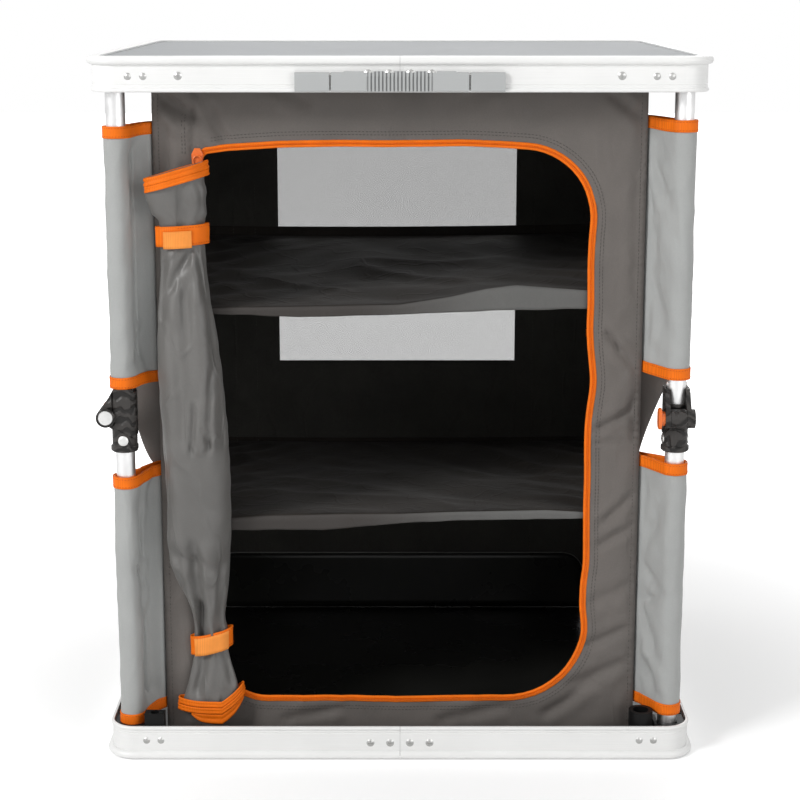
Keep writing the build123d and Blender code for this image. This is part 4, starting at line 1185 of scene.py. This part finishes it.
def closed_end(points, faces, start, sink):
    """Fills the roll's end from the ring of points at a start, sunk in by so many millimetres."""
    ring = points[start:start + ROLL_COUNT]
    middle = sum((Vector(p) for p in ring), Vector()) / ROLL_COUNT
    rings = [start]
    for step, share in enumerate((0.78, 0.5, 0.2)):
        rings.append(len(points))
        for p in ring:
            spot = middle + (Vector(p) - middle) * share
            points.append((spot.x, spot.y, spot.z + sink * (step + 1) / 3))
    centre = len(points)
    points.append((middle.x, middle.y, middle.z + sink))
    added = []
    for a, b in zip(rings, rings[1:]):
        for k in range(ROLL_COUNT):
            n = (k + 1) % ROLL_COUNT
            added.append((a + k, a + n, b + n, b + k))
    added += [(rings[-1] + k, rings[-1] + (k + 1) % ROLL_COUNT, centre) for k in range(ROLL_COUNT)]
    faces += added if sink < 0 else flipped(added)


def door_roll():
    rows = 168
    points, loose, held = roll_cloth(np.linspace(ROLL[-1][4], ROLL[0][4], rows))
    faces = quads(rows, ROLL_COUNT)
    points = gather(loose, faces, held)
    soft = np.array(points).reshape(rows, ROLL_COUNT, 3)
    for _ in range(ROLL_SOFTENINGS):
        soft = 0.5 * soft + 0.25 * (np.roll(soft, 1, axis=1) + np.roll(soft, -1, axis=1))
    points = []
    for ring, centre in zip(soft, soft.mean(axis=1)):
        for x, y, z in ring:
            front = smooth(0, 6, centre[1] - y)
            y += front * (1.4 * pressed(x, z, ROLL_FOLDS) + 0.5 * wobble(x, y, z * 0.6, 12, 61))
            swell = smooth(546, 554, z) * smooth(586, 574, z)
            x += swell * (0.17 * (x - centre[0]) - 1.2)
            points.append((x, min(y, -FRONT - 1.2), z))
    closed_end(points, faces, (rows - 1) * ROLL_COUNT, -6.0)
    closed_end(points, faces, 0, 6.0)
    piece = make("rolled_door", points, faces, "fabric_charcoal", ["roll"])
    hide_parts("door_roll")
    LOOSE.append(piece)


def roll_band(name, z0, z1, grow, tilt, rows=6, rib=0.0, span=(0.0, 1.0), lift=0.0, material="tape",
              lobe=0.0):
    """A tape round the roll. Its ribs run along it, it may cover only part of the way round, and a lobe
    rounds its lower edge up towards its ends."""
    def spot(u, v):
        share = span[0] + (span[1] - span[0]) * u
        z = z0 + (z1 - z0) * v + lobe * (1 - v) * abs(2 * u - 1) ** 3
        ring, centre = roll_ring(z, ROLL_COUNT, grow)
        k = share * ROLL_COUNT
        a = Vector(ring[int(k) % ROLL_COUNT])
        b = Vector(ring[(int(k) + 1) % ROLL_COUNT])
        spot = a + (b - a) * (k - int(k))
        out = rib * math.sin(TAU * v * 1.5) + lift + 0.5 * wobble(spot.x, spot.y, z, 14, 31)
        spot = spot + (spot - centre).normalized() * out
        return (spot.x, min(spot.y, -FRONT - 0.9), z + at(spot.x, tilt))

    points, faces = grid(ROLL_COUNT, rows, spot, closed=span == (0.0, 1.0))
    piece = make(name, points, faces, "webbing_orange", [material])
    LOOSE.append(thicken(piece, 1.1, offset=1.0))
    return piece


def roll_tapes():
    upper = roll_band("upper_tie", 522, 542, 1.2, UPPER_TIE_TILT)
    roll_band("upper_tie_end", 520, 537, 2.2, UPPER_TIE_TILT, span=(0.075, 0.30), lift=0.8, material="strap")
    roll_band("lower_tie", 102, 122, 1.2, LOWER_TIE_TILT)
    roll_band("lower_tie_end", 101, 120, 2.2, LOWER_TIE_TILT, span=(0.06, 0.40), lift=0.8, material="strap")
    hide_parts("door_ties")
    ends = roll_band("top_end_zip_tape", 588.5, 596, 1.2, TOP_TILT, 10, 0.5)
    roll_band("top_end_zip_inner_tape", 582, 587.8, 1.0, TOP_TILT, 6, 0.3)
    roll_band("bottom_end_zip_tape", 49, 55, 1.2, END_TILT, 6, 0.3)
    roll_band("bottom_end_zip_middle_tape", 42, 48.2, 1.5, END_TILT, 6, 0.3)
    roll_band("bottom_end_zip_inner_tape", 31, 41.4, 0.6, END_TILT, 8, 0.5, span=(0.09, 0.47), lobe=9.0)
    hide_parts("door_end_tapes")
    rows = []
    for z in (524, 540, 104, 120):
        tilt = UPPER_TIE_TILT if z > 300 else LOWER_TIE_TILT
        rows.append([(x, y, z + at(x, tilt)) for x, y in roll_ring(z, 90, 2.9)[0][18:70]])
    LOOSE.append(row_of("tie_stitches", rows, 2.8, (0.3, 0.3, 0.9), "orange_thread"))


def slider():
    """The zip's slider and its pull at the top left of the door."""
    x = DOOR[0] - 2
    y = -FRONT - 3.0
    outline = [(-2.2, 7), (2.2, 7), (4.6, 2), (4.2, -6), (-4.2, -6), (-4.6, 2)]
    sections = ((0.0, 0.9), (-0.6, 1.0), (-2.2, 1.0), (-2.9, 0.85))
    points = []
    for depth, share in sections:
        points += [(x + 1.25 * a * share, y + depth, 608 + 1.2 * b * share) for a, b in outline]
    n = len(outline)
    ends = [tuple(range(len(points) - n, len(points))), tuple(reversed(range(n)))]
    piece = make("zip_slider_body", points, quads(len(sections), n) + ends, "steel", ["button"], False)
    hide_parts("zip_slider")
    ring = [(x + 4.2 * math.cos(t), y - 3.6, 604 + 5.2 * math.sin(t)) for t in np.linspace(0, TAU, 25)]
    loop = make("zip_pull_loop", *tube_mesh(ring, 1.1), "steel", ["button"])
    LOOSE.extend([piece, loop])


# The pieces of the cabinet, and those round the legs and the door
WALLS = []
LOOSE = []
# Heights of the shelves' front folds and of their hems across the cabinet
UPPER_FOLD = ([-240, -165, -100, 0, 50, 85, 115, 180, 240], [455, 457, 458, 460, 468, 476, 480, 475, 472])
UPPER_HEM = ([-240, -160, -100, 0, 100, 240], [452, 450, 447, 450, 454, 457])
LOWER_FOLD = ([-240, -180, -140, -60, 0, 50, 150, 185, 240], [230, 238, 241, 243, 243, 245, 247, 245, 242])
LOWER_HEM = ([-240, -80, 0, 25, 100, 240], [226, 226, 233, 235, 237, 239])


def build():
    WALLS.append(front_panel())
    tape, coil = zip_parts()
    WALLS.append(tape)
    WALLS.extend([side_wall(-1), side_wall(1)])
    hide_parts("side_walls")
    for sx in (-1, 1):
        for sy in (1, -1):
            WALLS.append(gusset(sx, sy))
    WALLS.append(back_wall())
    WALLS.append(window())
    WALLS.extend(seams(coil))
    WALLS.extend(liner())
    WALLS.extend(tabs())
    WALLS.append(shelf("upper_shelf", 470.0, 16.0, -8.0, 8.0, -8.0, UPPER_FOLD, UPPER_HEM, 11.0, 41))
    WALLS.append(shelf("lower_shelf", 242.0, 0.0, -4.0, 5.0, 22.0, LOWER_FOLD, LOWER_HEM, 5.0, 51))
    sleeves()
    door_roll()
    roll_tapes()
    slider()


PAINT = {"tray_frame": "tray", "top_frame": "frame", "top_board": "board", "tray_floor_pan": "pan",
         "top_side_screws": "steel", "handle_mounts": "handle", "handle_pins": "steel", "handle_grip": "grip"}
for end in ("tray", "top"):
    PAINT[f"{end}_corner_brackets"] = "black"
    for metal_part in ("corner_rivets", "splice_plate", "splice_screws", "pivot_pins"):
        PAINT[f"{end}_{metal_part}"] = "steel"
LEG_PAINT = {"tube": ("lower_tube", "upper_tube"), "knuckle": ("lower_knuckle", "upper_knuckle"),
             "bright": ("knee_pin_and_rivet", "upper_rivet"), "button": ("lock_button",)}
for corner in ("front_left", "front_right", "back_right", "back_left"):
    for material, leg_parts in LEG_PAINT.items():
        PAINT.update({f"{corner}_{leg_part}": material for leg_part in leg_parts})


def paint_frame():
    for name, material in PAINT.items():
        mesh = nodes[name].data
        mesh.materials.clear()
        mesh.materials.append(MAT[material])


def lamp(name, place, aim, size, power):
    light = bpy.data.lights.new(name, "AREA")
    light.shape = "RECTANGLE"
    light.size, light.size_y = size
    light.energy = power
    obj = put(name, light)
    obj.location = place
    obj.rotation_euler = (Vector(aim) - Vector(place)).to_track_quat("-Z", "Y").to_euler()


def studio():
    """Pale floor and backdrop, soft light and the photograph's viewpoint."""
    scene = bpy.context.scene
    scene.view_settings.view_transform = "Standard"
    scene.world = bpy.data.worlds.new("Studio")
    sky = Tree(scene.world)
    # White where it is seen and dimmer as a light
    seen = sky.node("LightPath", output="Is Camera Ray")
    for ray in ("Is Glossy Ray", "Is Transmission Ray"):
        seen = seen.math("MAXIMUM", sky.node("LightPath", output=ray))
    power = sky.node("MapRange", {"Value": seen, "To Min": 0.45, "To Max": 1.0})
    background = sky.tree.nodes["Background"]
    sky.feed(background.inputs["Strength"], power)
    sky.feed(background.inputs["Color"], (1, 1, 1))

    below = -0.0005
    mesh = bpy.data.meshes.new("floor")
    mesh.from_pydata([(-9, -9, below), (9, -9, below), (9, 9, below), (-9, 9, below)], [], [(0, 1, 2, 3)])
    floor = put("floor", mesh)
    net = Net("Floor_White", (0.93, 0.93, 0.93), 0.9, emission_color=(1, 1, 1))
    x, y, z = net.axes()
    away = (x * x + y * y).math("SQRT")
    seen = net.node("LightPath", output="Is Camera Ray")
    net.set("Emission Color", net.mix(seen * away.ramp(380, 1300, 0.22, 1.0), (0, 0, 0), (1, 1, 1)))
    net.set("Emission Strength", 1.0)
    mesh.materials.append(net.material)

    lamp("Key", (-2.3, -2.1, 2.1), (0, 0, 0.35), (0.9, 0.9), 66)
    lamp("Fill", (2.0, -2.3, 1.2), (0, 0, 0.35), (1.8, 1.8), 22)
    lamp("Top", (0, 0.4, 2.8), (0, 0, 0.3), (2.2, 2.2), 16)
    lamp("Back", (0.4, 2.8, 1.6), (0, 0, 0.4), (2.0, 1.6), 16)

    # In pixels of the photograph: its width, the focal length and the row where the lens's middle falls
    picture = 800
    focal = 1791.0
    lens_row = 335.0
    sensor = 36.0
    lens = bpy.data.cameras.new("Photo_Camera")
    camera = put("Photo_Camera", lens)
    scene.camera = camera
    lens.sensor_width = sensor
    lens.lens = focal / picture * sensor
    lens.shift_y = (lens_row - picture / 2) / picture
    lens.clip_end = 50
    distance = 1.702
    height = 0.774
    down = 11.1
    camera.location = (0.0, -DEPTH / 2 * MM - distance, height)
    camera.rotation_euler = (math.radians(90 - down), 0, 0)


build()
for piece in WALLS:
    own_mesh(piece)
for piece in LOOSE:
    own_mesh(piece)
paint_frame()
studio()
